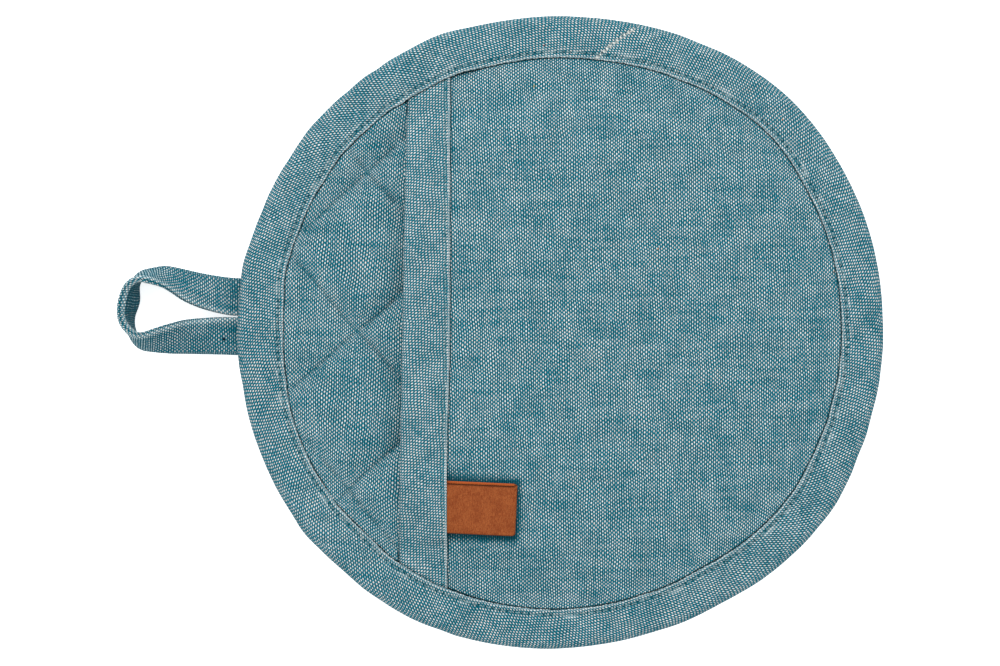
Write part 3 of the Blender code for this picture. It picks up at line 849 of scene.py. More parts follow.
# Round its fold over the pocket's mouth.
high = section_z[-1]
low = under_strip(left + STRIP_NOSE, strip_y(left + STRIP_NOSE, stations)) - STRIP_ROLL
half = (high - low) / 2
for turn in rounded(90, 270, 11):
    marks_and_painted_light = STRIP_RUBBED * ease(-0.5, 0.5, np.sin(turn))
    x = round_x + STRIP_ROUND * np.cos(turn)
    add_point(x, low + half + half * np.sin(turn), round_x - half * (turn - np.pi / 2), marks_and_painted_light)

# Its back leaf: the side on the pad, the edge and the side on the pocket.
for share in np.linspace(0, 1, 8):
    x = mix(round_x, face_x, share)
    under = under_strip(x, strip_y(x, stations)) - STRIP_ROLL * (1 - ease(0, 0.3, share))
    add_point(x, under, left - STRIP_ROUND - (x - left))
y = strip_y(right, stations)
for turn in rounded(-90, 90, 3):
    middle = under_strip(right, y) + STRIP_LEAF / 2
    x = right - STRIP_LIP + STRIP_LIP * np.cos(turn)
    add_point(x, middle + STRIP_LEAF / 2 * np.sin(turn), right + STRIP_INNER_RUNS[0])
for share in np.linspace(0, 1, 7):
    x = mix(face_x, left + 1.3, share)
    add_point(x, under_strip(x, strip_y(x, stations)) + STRIP_LEAF, x + STRIP_INNER_RUNS[0])

# The front leaf's side on the pocket, and its rolled edge.
for share in np.linspace(0, 1, 12):
    x = mix(left + 1.3, face_x, share)
    y = strip_y(x, stations)
    inner_side = strip_top(x, y) - strip_relief(x, y) - STRIP_LEAF
    add_point(x, inner_side, x + STRIP_INNER_RUNS[1])
y = strip_y(right, stations)
for turn in rounded(-90, 90, 5):
    middle = strip_top(right, y) - strip_relief(right, y) - STRIP_LEAF / 2
    x = right - STRIP_LIP + STRIP_LIP * np.cos(turn)
    run = right + STRIP_LEAF / 2 * (np.pi / 2 - turn)
    # Its rolled edge is paled by rubbing with a painted highlight.
    add_point(x, middle + STRIP_LEAF / 2 * np.sin(turn), run, edge_rubbing_and_light * ease(0.1, 0.7, np.sin(turn)))


def loft(rings):
    """Points and faces of a closed skin over rings of as many points each, with flat ends."""
    last, size = rings.shape[:2]
    k, i = np.meshgrid(np.arange(last - 1), np.arange(size), indexing="ij")
    after = (i + 1) % size
    corners = (k * size + i, k * size + after, (k + 1) * size + after, (k + 1) * size + i)
    corners = np.stack([c.ravel() for c in corners], 1)
    points = rings.reshape(-1, 3)
    a, b, c = (points[corners[:, k]] for k in range(3))
    faces = corners.tolist()
    faces += [list(range(size))[::-1], [(last - 1) * size + i for i in range(size)]]
    if np.sum(a * np.cross(b, c)) < 0:
        faces = [face[::-1] for face in faces]
    return points, faces


section_x, section_z = np.array(section_x), np.array(section_z)
section_y = strip_y(section_x, stations)
points, faces = loft(np.stack([section_x, section_y, section_z], 2).transpose(1, 0, 2))
run, along = np.array(section_run).T.ravel(), section_y.T.ravel()
yarns = [
    across * run + lengthways * along + start
    for (across, lengthways), start in zip(STRIP_BIAS, STRIP_STARTS)
]
marks_and_painted_light = np.array(section_marks_and_light).T.ravel()
mouth_strip = make_piece("mouth_strip_cloth", points, faces, chambray, yarns, marks_and_painted_light)
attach(mouth_strip, "root")
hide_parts("pocket_edge_strip")


def sewing_thread(name, colour):
    """Two-ply cotton thread, its plies wound round each other."""
    material, shader, (along, around, shade) = new_material(name, 0.8, 0.1)
    twist = maths("MULTIPLY_ADD", along, 9.0, maths("MULTIPLY", around, 4 * np.pi))
    ply = maths("ABSOLUTE", maths("SINE", maths("MULTIPLY", twist, 0.5)))
    # Painted shade in the grooves between the plies, each thread darker or lighter by its own share.
    depth = maths("MULTIPLY", fade(ply, 0.0, 0.7, 0.45, 1.0), shade)
    feed(shader.inputs["Base Color"], colours_between(depth, dyed(colour, 0.12), colour))
    return material


def run_along(places):
    """Length along a line of places, from its first one."""
    return np.concatenate([[0], np.cumsum(np.linalg.norm(np.diff(places, axis=0), axis=1))])


def thread_skin(rows, thick, sides=6):
    """Points, faces and coordinates of short threads, one for each row of places along its middle."""
    count, steps = rows.shape[:2]
    run = np.gradient(rows, axis=1)
    run /= np.linalg.norm(run, axis=2, keepdims=True)
    beside = np.cross(run, (0.0, 0.0, 1.0))
    beside /= np.linalg.norm(beside, axis=2, keepdims=True)
    over = np.cross(beside, run)
    turn = 2 * np.pi * np.arange(sides) / sides
    taper = np.ones(steps)
    taper[[0, -1]] = 0.5
    reach = (thick / 2 * taper)[None, :, None, None]
    out = beside[:, :, None] * np.cos(turn)[:, None] + over[:, :, None] * np.sin(turn)[:, None]
    points = (rows[:, :, None] + reach * out).reshape(-1, 3)
    n, k, i = np.meshgrid(np.arange(count), np.arange(steps - 1), np.arange(sides), indexing="ij")
    here = (n * steps + k) * sides
    corners = (here + i, here + (i + 1) % sides, here + sides + (i + 1) % sides, here + sides + i)
    faces = np.stack([c.ravel() for c in corners], 1).tolist()
    for first in range(0, count * steps * sides, steps * sides):
        last = first + (steps - 1) * sides
        faces += [[first + i for i in range(sides)][::-1], [last + i for i in range(sides)]]
    length = run_along(rows[0])
    along = (np.arange(count)[:, None, None] * 3.7 + length[None, :, None] + 0 * turn).ravel()
    around = np.broadcast_to(turn / (2 * np.pi), (count, steps, sides)).ravel()
    shade = 0.8 + 0.2 * np.sin(np.arange(count) * 12.9898) * np.cos(np.arange(count) * 4.1)
    return points, faces, (along, around), np.repeat(shade, steps * sides)


STITCH_STEPS = np.linspace(0.06, 0.80, 7)  # where a stitch lies along its pitch
STITCH_RISE = 0.8 * np.array([-0.30, -0.02, 0.12, 0.16, 0.12, -0.02, -0.30]) + THREAD * 0.25

teal_thread = sewing_thread("teal_sewing_thread", (0.17, 0.34, 0.38))
first = np.ceil(-STRIP_LAST / STITCH_PITCH) + np.arange(int(2 * STRIP_LAST / STITCH_PITCH))
y = (first[:, None] + STITCH_STEPS[None, :]) * STITCH_PITCH
x = strip_right_x(y) - STRIP_SEAM
rows = np.stack([x, strip_y(x, y), strip_top(x, strip_y(x, y)) + STITCH_RISE], 2)
points, faces, place, shade = thread_skin(rows, THREAD)
strip_stitches = make_piece("mouth_strip_stitches", points, faces, teal_thread, place, shade)
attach(strip_stitches, "root")


# ---------------------------------------------------------------------------------------------
# The quilting stitches. One row of lockstitches along each seam, sunk in its crease on the front
# and on the back.

QUILT_THREAD = 0.30
QUILT_STEPS = np.linspace(0.08, 0.86, 6)  # where a stitch lies along its pitch
QUILT_RISE = np.array([-0.25, 0.05, 0.14, 0.14, 0.05, -0.25])


def quilting_rows(front):
    """The middle lines of the quilting stitches on one side, those under the pocket left out."""
    rows = []
    along = (np.arange(-40, 40)[:, None] + QUILT_STEPS[None, :]) * QUILT_STITCH
    for seam in QUILT_SEAMS:
        across = seam * QUILT_PITCH + 0 * along
        for x, y in (unquilted(across, along), unquilted(along, across)):
            kept = inside_fold(x, y).min(axis=1) > 0.8
            kept &= (x.max(axis=1) < -50) | (not front)
            x, y = x[kept], y[kept]
            z = pad_front(x, y) + QUILT_RISE if front else pad_back(x, y) - QUILT_RISE
            rows.append(np.stack([x, y, z], 2))
    return np.concatenate(rows)


for name, front in (("quilting_front_stitches", True), ("quilting_back_stitches", False)):
    points, faces, place, shade = thread_skin(quilting_rows(front), QUILT_THREAD, 5)
    row = make_piece(name, points, faces, teal_thread, place, 0.7 * shade)
    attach(row, "root")


# ---------------------------------------------------------------------------------------------
# The tab. A strip of tan leather folded once with its grain outside, both ends sewn in under the
# mouth strip. The back layer shows above the front one.

TAB_THICK = 1.0
TAB_CORNER_ROUND = 0.22
TAB_TAIL_SHARE = 0.75
TAB_LOW, TAB_HIGH = 0.8, 2.1  # middles of its back and front layers above the pocket
TAB_BEND = 0.65
TAB_EDGE = 0.45  # how far in from its cut edges it is burnt dark
TAN_SPECK = (0.62, 0.27, 0.10)
BARE_TAN = (0.43, 0.088, 0.018)


def tanned_leather(name, colour):
    """Vegetable-tanned leather: fine grain, cloudy tan, darker along its cut edges and where a painted
    shadow is marked.
    """
    material, shader, (x, y, marks_and_painted_light) = new_material(name, 0.6, 0.08)
    place = flat_place(x, y)
    clouds = noise(place, 0.30, 4.0)[0]
    stretched = flat_place(maths("MULTIPLY", x, 2.2), maths("MULTIPLY", y, 0.7))
    streaks = noise(stretched, 1.1, 3.0)[0]
    speckle, pores = noise(place, 2.4, 3.0)[0], noise(place, 5.0, 2.0)[0]
    dark, light = dyed(colour, (0.72, 0.62, 0.7)), dyed(colour, (1.12, 1.3, 1.7))
    shade = maths("MULTIPLY_ADD", streaks, 0.6, maths("MULTIPLY", clouds, 0.4))
    tan = colours_between(fade(shade, 0.32, 0.66, 0.0, 1.0), dark, light)
    tan = colours_between(fade(speckle, 0.30, 0.62, 0.5, 0.0), tan, dyed(colour, 0.55))
    tan = colours_between(fade(pores, 0.55, 0.72, 0.0, 0.25), tan, TAN_SPECK)
    bare = colours_between(maths("MAXIMUM", marks_and_painted_light, 0.0), tan, BARE_TAN)
    # Dark cut edges, and a painted shadow where it is marked.
    dark_edges_and_shadow = maths("MAXIMUM", maths("MULTIPLY", marks_and_painted_light, -1.0), 0.0)
    feed(shader.inputs["Base Color"], colours_between(dark_edges_and_shadow, bare, dyed(colour, 0.16)))
    grain = maths("ADD", maths("MULTIPLY", speckle, 0.7), maths("MULTIPLY", pores, 0.5))
    add_bump(shader, grain, 0.6, 0.12)
    return material


def rounded_bar(width, thick, corner):
    """A flat bar's outline as (across, out of its face), its long edges rounded."""
    spread, close = width / 2 - corner, 1.6
    fine = np.linspace(0, close, 9)
    wide = np.linspace(close - spread, spread - close, 14)[1:-1]
    face = np.concatenate([fine - spread, wide, spread - fine[::-1]])
    around = []
    for side in (1, -1):
        around += [(side * a, side * thick / 2) for a in face]
        for start, middle in ((90, thick / 2 - corner), (0, corner - thick / 2)):
            for turn in rounded(start, start - 90, 2):
                across, out = spread + corner * np.cos(turn), middle + corner * np.sin(turn)
                around.append((side * across, side * out))
    return np.array(around)


turn = np.radians(TAB_TURN)
flat_end = TAB_LENGTH - TAB_BEND - TAB_THICK / 2
low_run = np.linspace(-TAB_TAIL, flat_end, 40)
bend = rounded(-90, 90, 9)
path = [(run, TAB_LOW, -90.0, 1.0) for run in low_run]  # run, rise, facing, share of the back layer
for b in bend:
    rise = (TAB_LOW + TAB_HIGH) / 2 + TAB_BEND * np.sin(b)
    path.append((flat_end + TAB_BEND * np.cos(b), rise, np.degrees(b), 0.5 - b / np.pi))
path += [(run, TAB_HIGH, 90.0, 0.0) for run in low_run[::-1]]
rings, tab_place, tab_marks_and_shadow, travel = [], [], [], 0.0
for k, (run, rise, facing, layer) in enumerate(path):
    thick = TAB_THICK * mix(TAB_TAIL_SHARE, 1.0, ease(-0.8, 0.9, run))
    across, depth = rounded_bar(TAB_WIDTH, thick, TAB_CORNER_ROUND).T
    if k:
        travel += np.hypot(run - path[k - 1][0], rise - path[k - 1][1])
    out = np.radians(facing)
    ripple = 0.10 * np.sin(run / 3.1 + across / 6.0) * ease(0, 4, run)
    along = run + depth * np.cos(out)
    slide = TAB_WIDTH / 2 - across - TAB_OVERHANG * layer
    x = TAB_CORNER[0] + along * np.cos(turn) + slide * np.sin(turn)
    y = TAB_CORNER[1] + along * np.sin(turn) - slide * np.cos(turn)
    z = pocket_cloth_top(x, y) + rise + ripple + depth * np.sin(out)
    rings.append(np.stack([x, y, z], 1))
    tab_place.append(np.stack([np.full(len(x), travel), across + 3 * np.sign(depth)], 1))
    cut = np.clip((np.abs(across) - (TAB_WIDTH / 2 - TAB_EDGE)) / TAB_EDGE, 0, 1)
    past = across - (TAB_WIDTH / 2 - TAB_OVERHANG)  # onto the back layer's edge, which shows
    shows = layer * (depth * np.sin(out) > 0) * ease(-0.4, 0, past)
    # The back layer's band shows bare tan, with a painted shadow of the front layer's edge along it;
    # the cut edges are dark.
    tab_marks_and_shadow.append(mix(-0.8 * cut, mix(-0.9, 0.8, ease(0.1, 0.4, past)), shows))
points, faces = loft(np.array(rings))
tab_place = np.concatenate(tab_place).T
tan_leather = tanned_leather("tan_leather", (0.262, 0.058, 0.0115))
tab = make_piece("leather_tab_piece", points, faces, tan_leather, tab_place, np.concatenate(tab_marks_and_shadow))
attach(tab, "root")
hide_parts("leather_tab")


# ---------------------------------------------------------------------------------------------
# The hanging loop. A strip of the cotton folded lengthways and sewn, bent round with its tip on
# edge, its two ends side by side on the back under the binding.

STRAP_WIDTH = 12.6
STRAP_THICK = 2.4
STRAP_PRESSED = 1.6
STRAP_TIP_SWELL = 0.3  # half of what its tip is thicker
STRAP_PAINTED_SHADE = 0.18  # painted shade all over it
STRAP_START = (150, 90)  # where in the cloth it is cut
STRAP_PRESS_FROM, STRAP_PRESS_TO = -105.2, -102.8
STRAP_SECTIONS = (  # lower edge x, y; bearing of the other edge, inwards; lean, 0 flat and 90 upright
    (-94.5, 16.2, -90, 0), (-105.0, 16.25, -90, 0), (-111.6, 16.9, -88, 12), (-118.2, 18.1, -84, 20),
    (-124.3, 19.5, -79, 31), (-129.3, 20.3, -70, 47), (-133.6, 19.6, -56, 64), (-137.5, 18.1, -42, 80),
    (-139.1, 14.8, -20, 95), (-139.1, 9.9, 0, 107), (-140.6, 5.2, 14, 100), (-140.6, 1.4, 32, 91),
    (-139.1, -2.6, 58, 79), (-136.6, -4.9, 70, 67), (-132.4, -5.7, 79, 54), (-127.8, -6.1, 81, 40),
    (-122.4, -6.2, 85, 28), (-111.6, -6.4, 90, 13), (-105.0, -6.6, 90, 0), (-94.5, -6.7, 90, 0),
)
STRAP_STEPS = 12
STRAP_SEAM = 0.35  # depth of the groove where its two folded edges meet


def through(values, position):
    """Smooth curve through evenly spaced values, read at position (a Catmull-Rom spline)."""
    values = np.asarray(values, float)
    last = len(values) - 1
    i = np.minimum(position.astype(int), last - 1)
    t = position - i
    a, b, c, d = (values[np.clip(k, 0, last)] for k in (i - 1, i, i + 1, i + 2))
    return b + 0.5 * t * (c - a + t * (2 * a - 5 * b + 4 * c - d + t * (3 * (b - c) + d - a)))


def strap_section(half, apart):
    """A strap's outline as (across, out of its face, painted light): rounded edges, a groove in the far
    one, a painted highlight on the far edge, painted shade in the groove, and -1 marking its underside.
    """
    flat = np.linspace(0, 1, 13)
    places = [(share * apart, half, 0.3 * ease(0.9, 1.0, share)) for share in flat]
    for turn in rounded(90, -90, 15):
        hollow = bell(turn, 0.32)
        reach = half - STRAP_SEAM * hollow
        places.append((apart + reach * np.cos(turn), half * np.sin(turn), 0.55 - 0.85 * hollow))
    places += [(share * apart, -half, -1.0) for share in flat[::-1]]
    places += [(half * np.cos(turn), half * np.sin(turn), 0.0) for turn in rounded(-90, -270, 9)]
    return np.array(places)


count = (len(STRAP_SECTIONS) - 1) * STRAP_STEPS
position = np.arange(count + 1) / STRAP_STEPS
edge_x, edge_y, bearing, lean = (through(column, position) for column in zip(*STRAP_SECTIONS))
edge = np.stack([edge_x, edge_y, 0 * position], 1)
bearing, lean = np.radians(bearing), np.radians(np.maximum(lean, 0.0))
flat_part = np.cos(lean)
across = np.stack([flat_part * np.cos(bearing), flat_part * np.sin(bearing), np.sin(lean)], 1)
face = np.cross(np.gradient(edge, axis=0), across)
face /= np.linalg.norm(face, axis=1, keepdims=True)
pressed = ease(STRAP_PRESS_FROM, STRAP_PRESS_TO, edge_x)
half = mix(STRAP_THICK, STRAP_PRESSED, pressed) / 2 + STRAP_TIP_SWELL * ease(0.9, 1.5, lean)
travel = run_along(edge)
rings, yarns, marks_and_painted_light = [], [], []
for k in range(count + 1):
    out, up, edge_rubbing_and_light = strap_section(half[k], STRAP_WIDTH - STRAP_THICK).T
    # Painted shade on the underside of the upright tip, and painted shade all over the strap.
    in_shade = 0.3 * ease(0.9, 1.6, lean[k])
    marks_and_painted_light.append(np.where(edge_rubbing_and_light < -0.9, -in_shade, edge_rubbing_and_light) - STRAP_PAINTED_SHADE)
    base = edge[k] + np.array([0, 0, half[k]])
    rings.append(base + np.outer(out, across[k]) + np.outer(up, face[k]))
    girth = run_along(np.stack([out, up], 1))
    yarns.append(np.stack([0 * girth + travel[k] + STRAP_START[0], girth + STRAP_START[1]], 1))
points, faces = loft(np.array(rings))
yarns = np.concatenate(yarns).T
strap = make_piece("hanging_loop_strap", points, faces, chambray, yarns, np.concatenate(marks_and_painted_light))
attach(strap, "root")
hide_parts("hanging_loop")


# ---------------------------------------------------------------------------------------------
# The binding. A bias strip of the cotton folded over the whole edge, its own edges turned in, and
# sewn through by one row of stitches. Its two ends meet on a slant near the top.

RIM_TO_STRIP = (-63.0, -57.0)
RIM_LEAF = 1.0
RIM_WEB = 2.2
RIM_ROUND = 2.5
RIM_SEAM = 1.8  # outwards from its folded edge
RIM_LIP = 0.5
RIM_RUBBED = 0.02  # wear all over its front
JOIN = 81.85  # direction of the join where the stitches cross it
JOIN_SLANT = 0.54  # degrees a millimetre, inwards
BIAS_DRAW = ((0.785, 0.665), (-0.77, 0.66))  # white and teal yarns, across the binding and along it
BIAS_PULLS = ((70, 0.07, 35), (205, -0.06, 25), (15, -0.04, 15))  # direction, change, spread
BIAS_EASED = ((100, 0.07, 25),)  # the same for where its cloth was eased in along the edge
RIM_FACE = (0.5, 0.75, 1.0, 1.25, 1.5, 1.65, 1.8, 1.95, 2.1, 2.35, 2.7, 3.1)  # out from its fold
RIM_MIDDLE = RADIUS - 7
JOIN_RADIUS = RADIUS - 8
RIM_STRIP_RISE = 1.6  # how much higher it lies on the ends of the mouth strip
RIM_GROOVE, RIM_STITCH_RELIEF = 0.32, 0.16
RIM_GROOVE_HALF = 0.55
RIM_RIPPLES = ((0.10, 9.3, 2, 31), (0.07, 5.1, 3, 47))  # height, length, and how that wanders
RIM_PILLOW = 0.28
RIM_BACK_GROOVE = 0.25

seam_turns = JOIN + np.linspace(0, 360, 3601)
seam_x, seam_y = at_angle(seam_turns, fold_radius(seam_turns % 360) + RIM_SEAM)
seam_lengths = run_along(np.stack([seam_x, seam_y], 1))
rim_stitches = round(seam_lengths[-1] / STITCH_PITCH)
rim_pitch = seam_lengths[-1] / rim_stitches


def round_turn(angle):
    """The same direction from the join on."""
    return JOIN + (angle - JOIN) % 360


def rim_heights(angle):
    """Top and bottom of the binding, where it lies on the pocket, the strip or the loop's ends."""
    middle = (outline_radius(angle) - rim_width(angle) / 2) * np.cos(np.radians(angle))
    pocket = ease(*RIM_TO_STRIP, middle)
    strip = pocket * (1 - ease(*PAST_STRIP, middle))
    looped = on_loop(angle)
    top = PAD_EDGE_TOP + PLAY + RIM_LEAF + PLAY * pocket + RIM_STRIP_RISE * strip
    return top + LOOP_RIM_RISE * looped, LOOP_LIFT * looped


def rim_top(angle, outward):
    """The binding's front, so far outwards from its folded edge."""
    return rim_heights(angle)[0] + rim_relief(angle, outward)


def from_join(angle, outward):
    """Distance from the join's line, for a place so far outwards from the folded edge."""
    line = JOIN - JOIN_SLANT * (outward - RIM_SEAM)
    return away(angle, line) * np.radians(JOIN_RADIUS)


def rim_relief(angle, outward):
    """The stitches' groove, the pleats they pull, slow ripples and the groove of the join."""
    length = np.interp(round_turn(angle), seam_turns, seam_lengths)
    stitch = wave(length, rim_pitch)
    in_seam = bell(outward - RIM_SEAM, RIM_GROOVE_HALF)
    groove = (RIM_GROOVE + RIM_STITCH_RELIEF * stitch) * in_seam
    pleats = 0.05 * stitch * np.exp(-np.abs(outward - RIM_SEAM) / 1.5)
    slant = length + 0.8 * outward
    ripples = sum(
        height * np.sin(2 * np.pi * slant / size + wander * np.sin(slant / reach))
        for height, size, wander, reach in RIM_RIPPLES
    )
    width = rim_width(angle)
    pillow = ease(RIM_SEAM, RIM_SEAM + 4, outward) * (1 - ease(width - 4, width, outward))
    join = 0.08 * bell(from_join(angle, outward), 0.55)
    return (RIM_PILLOW + ripples) * pillow + ripples * 0.4 - pleats - groove - join


rim_shares = np.linspace(0, 1, 15)[1:]
stations = np.arange(rim_stitches * 4 + 1) * rim_pitch / 4
ring_turns = np.interp(stations, seam_lengths, seam_turns)
ring_turns[-1] = JOIN + 360
near_join = 1 - ease(0, 32, np.abs(away(ring_turns, JOIN)))
width = rim_width(ring_turns % 360)
round_from = width - RIM_ROUND
outwards_at, turns_at, rises, runs, rim_marks_and_light = [], [], [], [], []


def add_place(outward, height, run, marks_and_painted_light=0.0):
    """One point of every section: its place out from the fold, height, unfolded run, and rubbing with
    painted highlight and painted shade.
    """
    turn = ring_turns - JOIN_SLANT * near_join * (outward - RIM_SEAM)
    outwards_at.append(outward + 0 * stations)
    turns_at.append(turn)
    rises.append(height(turn % 360))
    runs.append(run + 0 * stations)
    rim_marks_and_light.append(marks_and_painted_light + 0 * stations)


# Its front leaf, from the folded edge to the rim.
edge_rubbing_and_light = rubbing_and_lit_places(stations, 11, 5.3)
for out in RIM_FACE:
    in_seam = bell(out - RIM_SEAM, 0.42)
    # Painted shade in the needle holes, and rubbing with a painted highlight along the folded edge.
    dark = -0.95 * needle_hole(stations, rim_pitch) * in_seam
    light = EDGE_RUBBING_AND_HIGHLIGHT * edge_rubbing_and_light * (1 - ease(0.4, 0.9, out))
    fuzzy = ease(0.1, 0.6, lumps(stations, 3 * out + 0 * stations, 8, 2.9))
    light = light + 0.7 * fuzzy * ease(0.9, 1.4, out) * (1 - ease(2.6, 3.6, out))
    add_place(out, lambda turn: rim_top(turn, out), width - out, RIM_RUBBED + dark + light)
for share in rim_shares:
    out = mix(RIM_FACE[-1], round_from, share)
    add_place(out, lambda turn: rim_top(turn, out), width - out, RIM_RUBBED)

# Round the rim.
for side in rounded(90, -90, 11):

    def height(turn):
        top, bottom = rim_heights(turn)
        top = top + rim_relief(turn, round_from) * (np.sin(side) > 0)
        return (top + bottom) / 2 + (top - bottom) / 2 * np.sin(side)

    past_top = np.pi / 2 - side
    out = round_from + RIM_ROUND * np.cos(side)
    # Painted shade on its outer side, past the top.
    add_place(out, height, RIM_ROUND - 3.2 * past_top, RIM_RUBBED - 0.14 * ease(0.2, 1.2, past_top))

# Its back leaf with its folded edge.
for share in rim_shares[::-1][:-1]:
    out = mix(RIM_FACE[-1], round_from, share)
    add_place(out, lambda turn: rim_heights(turn)[1], out - width - 6)
for out in RIM_FACE[::-1]:
    groove = RIM_BACK_GROOVE * bell(out - RIM_SEAM, 0.5)
    add_place(out, lambda turn: rim_heights(turn)[1] + groove, out - width - 6)
for side in rounded(-90, -270, 3):
    rise = RIM_LIP + RIM_LIP * np.sin(side)
    add_place(RIM_LIP + RIM_LIP * np.cos(side), lambda turn: rim_heights(turn)[1] + rise, -22)

# The two leaves' sides on the pad, and the front leaf's folded edge.
for out in (0.5, 3.0, 6.0, width - RIM_WEB):
    add_place(out, lambda turn: rim_heights(turn)[1] + RIM_LEAF, 30)
for out in (width - RIM_WEB, 6.0, 3.0, 0.5):
    add_place(out, lambda turn: rim_heights(turn)[0] - RIM_LEAF, 30)
for side in rounded(270, 90, 5):

    def height(turn):
        top = rim_heights(turn)[0] + rim_relief(turn, RIM_FACE[0]) * (np.sin(side) > 0)
        return top - RIM_LIP + RIM_LIP * np.sin(side)

    run = width - RIM_FACE[0] + RIM_LIP * (side - np.pi / 2)
    # The folded edge is paled by rubbing with a painted highlight.
    add_place(RIM_LIP + RIM_LIP * np.cos(side), height, run, edge_rubbing_and_light * ease(0.1, 0.7, np.sin(side)))

turns_at, outwards_at, rises = np.array(turns_at), np.array(outwards_at), np.array(rises)
drawn_back = 0.10 * wave(stations, rim_pitch) + 0.16 * lumps(stations, 0 * stations, 7, 1.7)
drawn_back = drawn_back * np.exp(-outwards_at / 1.2)
radius = outline_radius(turns_at % 360) - width + outwards_at + drawn_back
x, y = at_angle(turns_at, radius)
points, faces = loft(np.stack([x, y, rises], 2).transpose(1, 0, 2))
turns, run = turns_at.T.ravel(), np.array(runs).T.ravel()
along = np.radians(turns) * RIM_MIDDLE
eased_at = JOIN + np.arange(-20, 400, 0.5)
eased = np.cumsum(bumps(eased_at, BIAS_EASED)) * np.radians(0.5) * RIM_MIDDLE
yarns = [across * run + lengthways * along for across, lengthways in BIAS_DRAW]
yarns[0] += bumps(turns, BIAS_PULLS) * run - np.interp(turns, eased_at, eased)
marks_and_painted_light = np.array(rim_marks_and_light).T.ravel()
binding = make_piece("rim_binding_cloth", points, faces, chambray, yarns, marks_and_painted_light)
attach(binding, "root")
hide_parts("rim_binding")


def rim_rows(over):
    """The middle lines of the stitches on the front, or on the back, of the binding."""
    length = (np.arange(rim_stitches)[:, None] + STITCH_STEPS[None, :]) * rim_pitch
    turn = np.interp(length, seam_lengths, seam_turns)
    x, y = at_angle(turn, fold_radius(turn % 360) + RIM_SEAM)
    if over:
        z = rim_top(turn % 360, RIM_SEAM) + STITCH_RISE
    else:
        z = rim_heights(turn % 360)[1] + RIM_BACK_GROOVE - STITCH_RISE
    return np.stack([x, y, z], 2)


for name, over in (("rim_front_stitches", True), ("rim_back_stitches", False)):
    points, faces, place, shade = thread_skin(rim_rows(over), THREAD)
    row = make_piece(name, points, faces, teal_thread, place, shade)
    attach(row, "root")


# ---------------------------------------------------------------------------------------------
# The join. The frayed ends of the binding show as a row of pale tufts, caught by hand stitches
# square to the join's line.

JOIN_TUFTS = 11
TUFT_PITCH = 1.05
TUFT_HALF = (0.26, 0.50)  # outwards and along the binding, from a tuft's middle to its end
TUFT_THICK = 0.60
JOIN_FIBRES = 90
FIBRE_THICK = 0.10


def on_join(outward, beside):
    """Places on the binding, beside the join's line by so many millimetres."""
    outward, beside = np.broadcast_arrays(outward, beside)
    turn = JOIN - JOIN_SLANT * (outward - RIM_SEAM) + np.degrees(beside / JOIN_RADIUS)
    x, y = at_angle(turn, fold_radius(turn) + outward)
    return np.stack([x, y, rim_top(turn, outward)], -1)


pale_cotton = sewing_thread("frayed_cotton", (0.82, 0.86, 0.82))
middle = 0.7 + TUFT_PITCH * np.arange(JOIN_TUFTS)
share = np.linspace(-1, 1, 7)
uneven = 1 + 0.35 * np.sin(5 * middle[:, None])
rows = on_join(middle[:, None] + TUFT_HALF[0] * uneven * share, TUFT_HALF[1] * uneven * share)
rows[:, :, 2] += 0.10 - 0.30 * share**2
points, faces, place, shade = thread_skin(rows, TUFT_THICK)
tufts = make_piece("binding_join_tufts", points, faces, pale_cotton, place, shade)
chance = np.random.default_rng(5)
start = chance.uniform((0.3, -0.8), (12.0, 0.8), (JOIN_FIBRES, 2))
turn, length = chance.uniform(0, np.pi, JOIN_FIBRES), chance.uniform(0.4, 1.1, JOIN_FIBRES)
step = np.linspace(-0.5, 0.5, 4)
outward = start[:, :1] + (length * np.sin(turn))[:, None] * step
beside = start[:, 1:] + (length * np.cos(turn))[:, None] * step
rows = on_join(outward, beside)
rows[:, :, 2] += 0.10
points, faces, place, shade = thread_skin(rows, FIBRE_THICK, 4)
fibres = make_piece("binding_join_fibres", points, faces, pale_cotton, place, shade)
for piece in (tufts, fibres):
    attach(piece, "root")


# ---------------------------------------------------------------------------------------------
# Loose fibres. Six short bits of coloured lint, cotton fluff and ends of thread, that lie loose on
# the loop, the pocket and the binding.

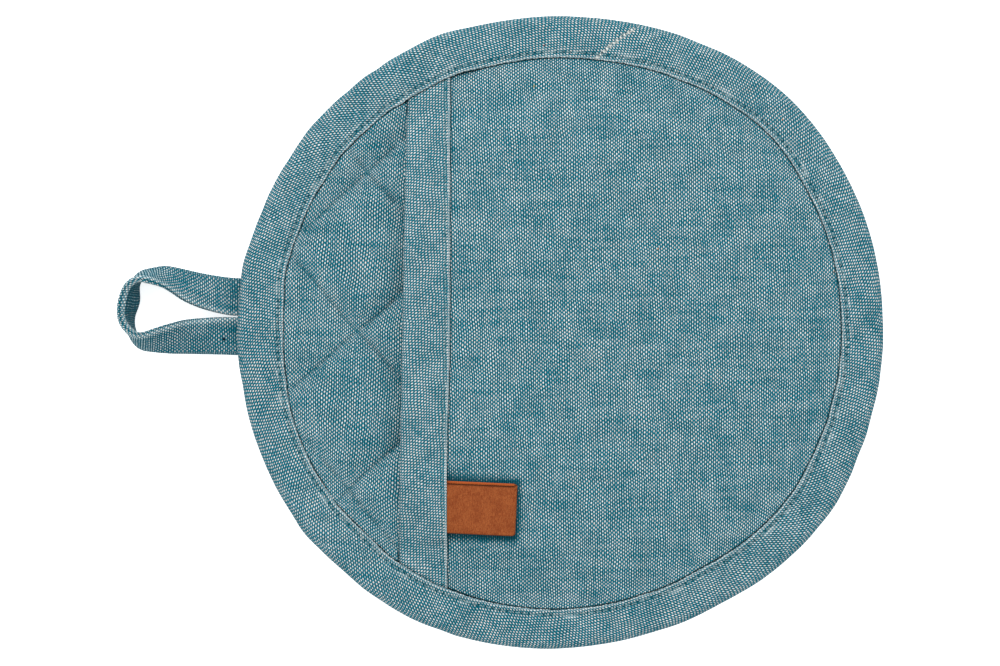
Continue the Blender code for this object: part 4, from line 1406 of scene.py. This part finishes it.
LINT = (  # name, what it lies on, x, y, bearing, thickness, colour
    ("lint_dark", strap, -110.0, -2.5, 60, 0.80, (0.004, 0.015, 0.025)),
    ("lint_red", binding, -5.5, 93.1, 20, 0.28, (0.30, 0.03, 0.03)),
    ("lint_yellow", pocket, -8.8, 79.8, 75, 0.28, (0.62, 0.50, 0.10)),
    ("lint_orange", pocket, 31.5, 26.8, 40, 0.28, (0.60, 0.22, 0.05)),
    ("lint_amber", binding, 72.1, 69.0, 110, 0.28, (0.60, 0.26, 0.08)),
    ("lint_brown", binding, 88.9, 19.5, 60, 0.24, (0.26, 0.13, 0.06)),
)
for name, below, x, y, bearing, thick, colour in LINT:
    places = np.empty(3 * len(below.data.vertices), np.float32)
    below.data.vertices.foreach_get("co", places)
    places = places.reshape(-1, 3) / MM
    near = np.hypot(places[:, 0] - x, places[:, 1] - y) < 1.2
    step_x, step_y = at_angle(bearing, np.linspace(-0.4, 0.4, 5))
    row = np.stack([x + step_x, y + step_y, places[near, 2].max() + 0.05 + 0 * step_x], 1)
    points, faces, place, shade = thread_skin(row[None], thick)
    lint = make_piece(name, points, faces, sewing_thread(name + "_thread", colour), place, shade)
    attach(lint, "root")


# ---------------------------------------------------------------------------------------------
# The table under it, a plain pale board, in the soft light of a studio: white all round, and one
# large lamp from beyond the top. The camera looks straight down.

TABLE_HALF = 1500.0
TABLE_DROP = 0.2
LAMP_PLACE, LAMP_SIZE, LAMP_POWER = (-150.0, 700.0, 950.0), 500.0, 8
CAMERA_PLACE = (-19.86, -0.52, 910.2)

corners = ((-1, -1), (1, -1), (1, 1), (-1, 1))
corners = np.array([(TABLE_HALF * x, TABLE_HALF * y, -TABLE_DROP) for x, y in corners]) * MM
floor_mesh = bpy.data.meshes.new("table_top")
floor_mesh.from_pydata(corners.tolist(), [], [(0, 1, 2, 3)])
table_top = bpy.data.objects.new("table_top", floor_mesh)
paper = bpy.data.materials.new("pale_table")
paper.use_nodes = True
board = paper.node_tree.nodes["Principled BSDF"].inputs
board["Base Color"].default_value = (0.94, 0.94, 0.94, 1)
board["Emission Color"].default_value = (1, 1, 1, 1)
board["Emission Strength"].default_value = 0.65
board["Roughness"].default_value = 0.9
floor_mesh.materials.append(paper)
bpy.context.scene.collection.objects.link(table_top)

world = bpy.data.worlds.new("studio")
bpy.context.scene.world = world
world.use_nodes = True
sky = world.node_tree.nodes["Background"].inputs
sky["Color"].default_value = (1, 1, 1, 1)
sky["Strength"].default_value = 1.0

lamp = bpy.data.lights.new("window_light", "AREA")
lamp.shape = "SQUARE"
lamp.size = LAMP_SIZE * MM
lamp.energy = LAMP_POWER
held_lamp = bpy.data.objects.new("window_light", lamp)
held_lamp.location = np.array(LAMP_PLACE) * MM
held_lamp.rotation_euler = (-held_lamp.location).to_track_quat("-Z", "Y").to_euler()
bpy.context.scene.collection.objects.link(held_lamp)

camera_data = bpy.data.cameras.new("camera")
camera_data.lens = 100
camera_data.sensor_width = 36
camera = bpy.data.objects.new("camera", camera_data)
camera.location = np.array(CAMERA_PLACE) * MM
bpy.context.scene.collection.objects.link(camera)
bpy.context.scene.camera = camera
bpy.context.scene.view_settings.view_transform = "Standard"
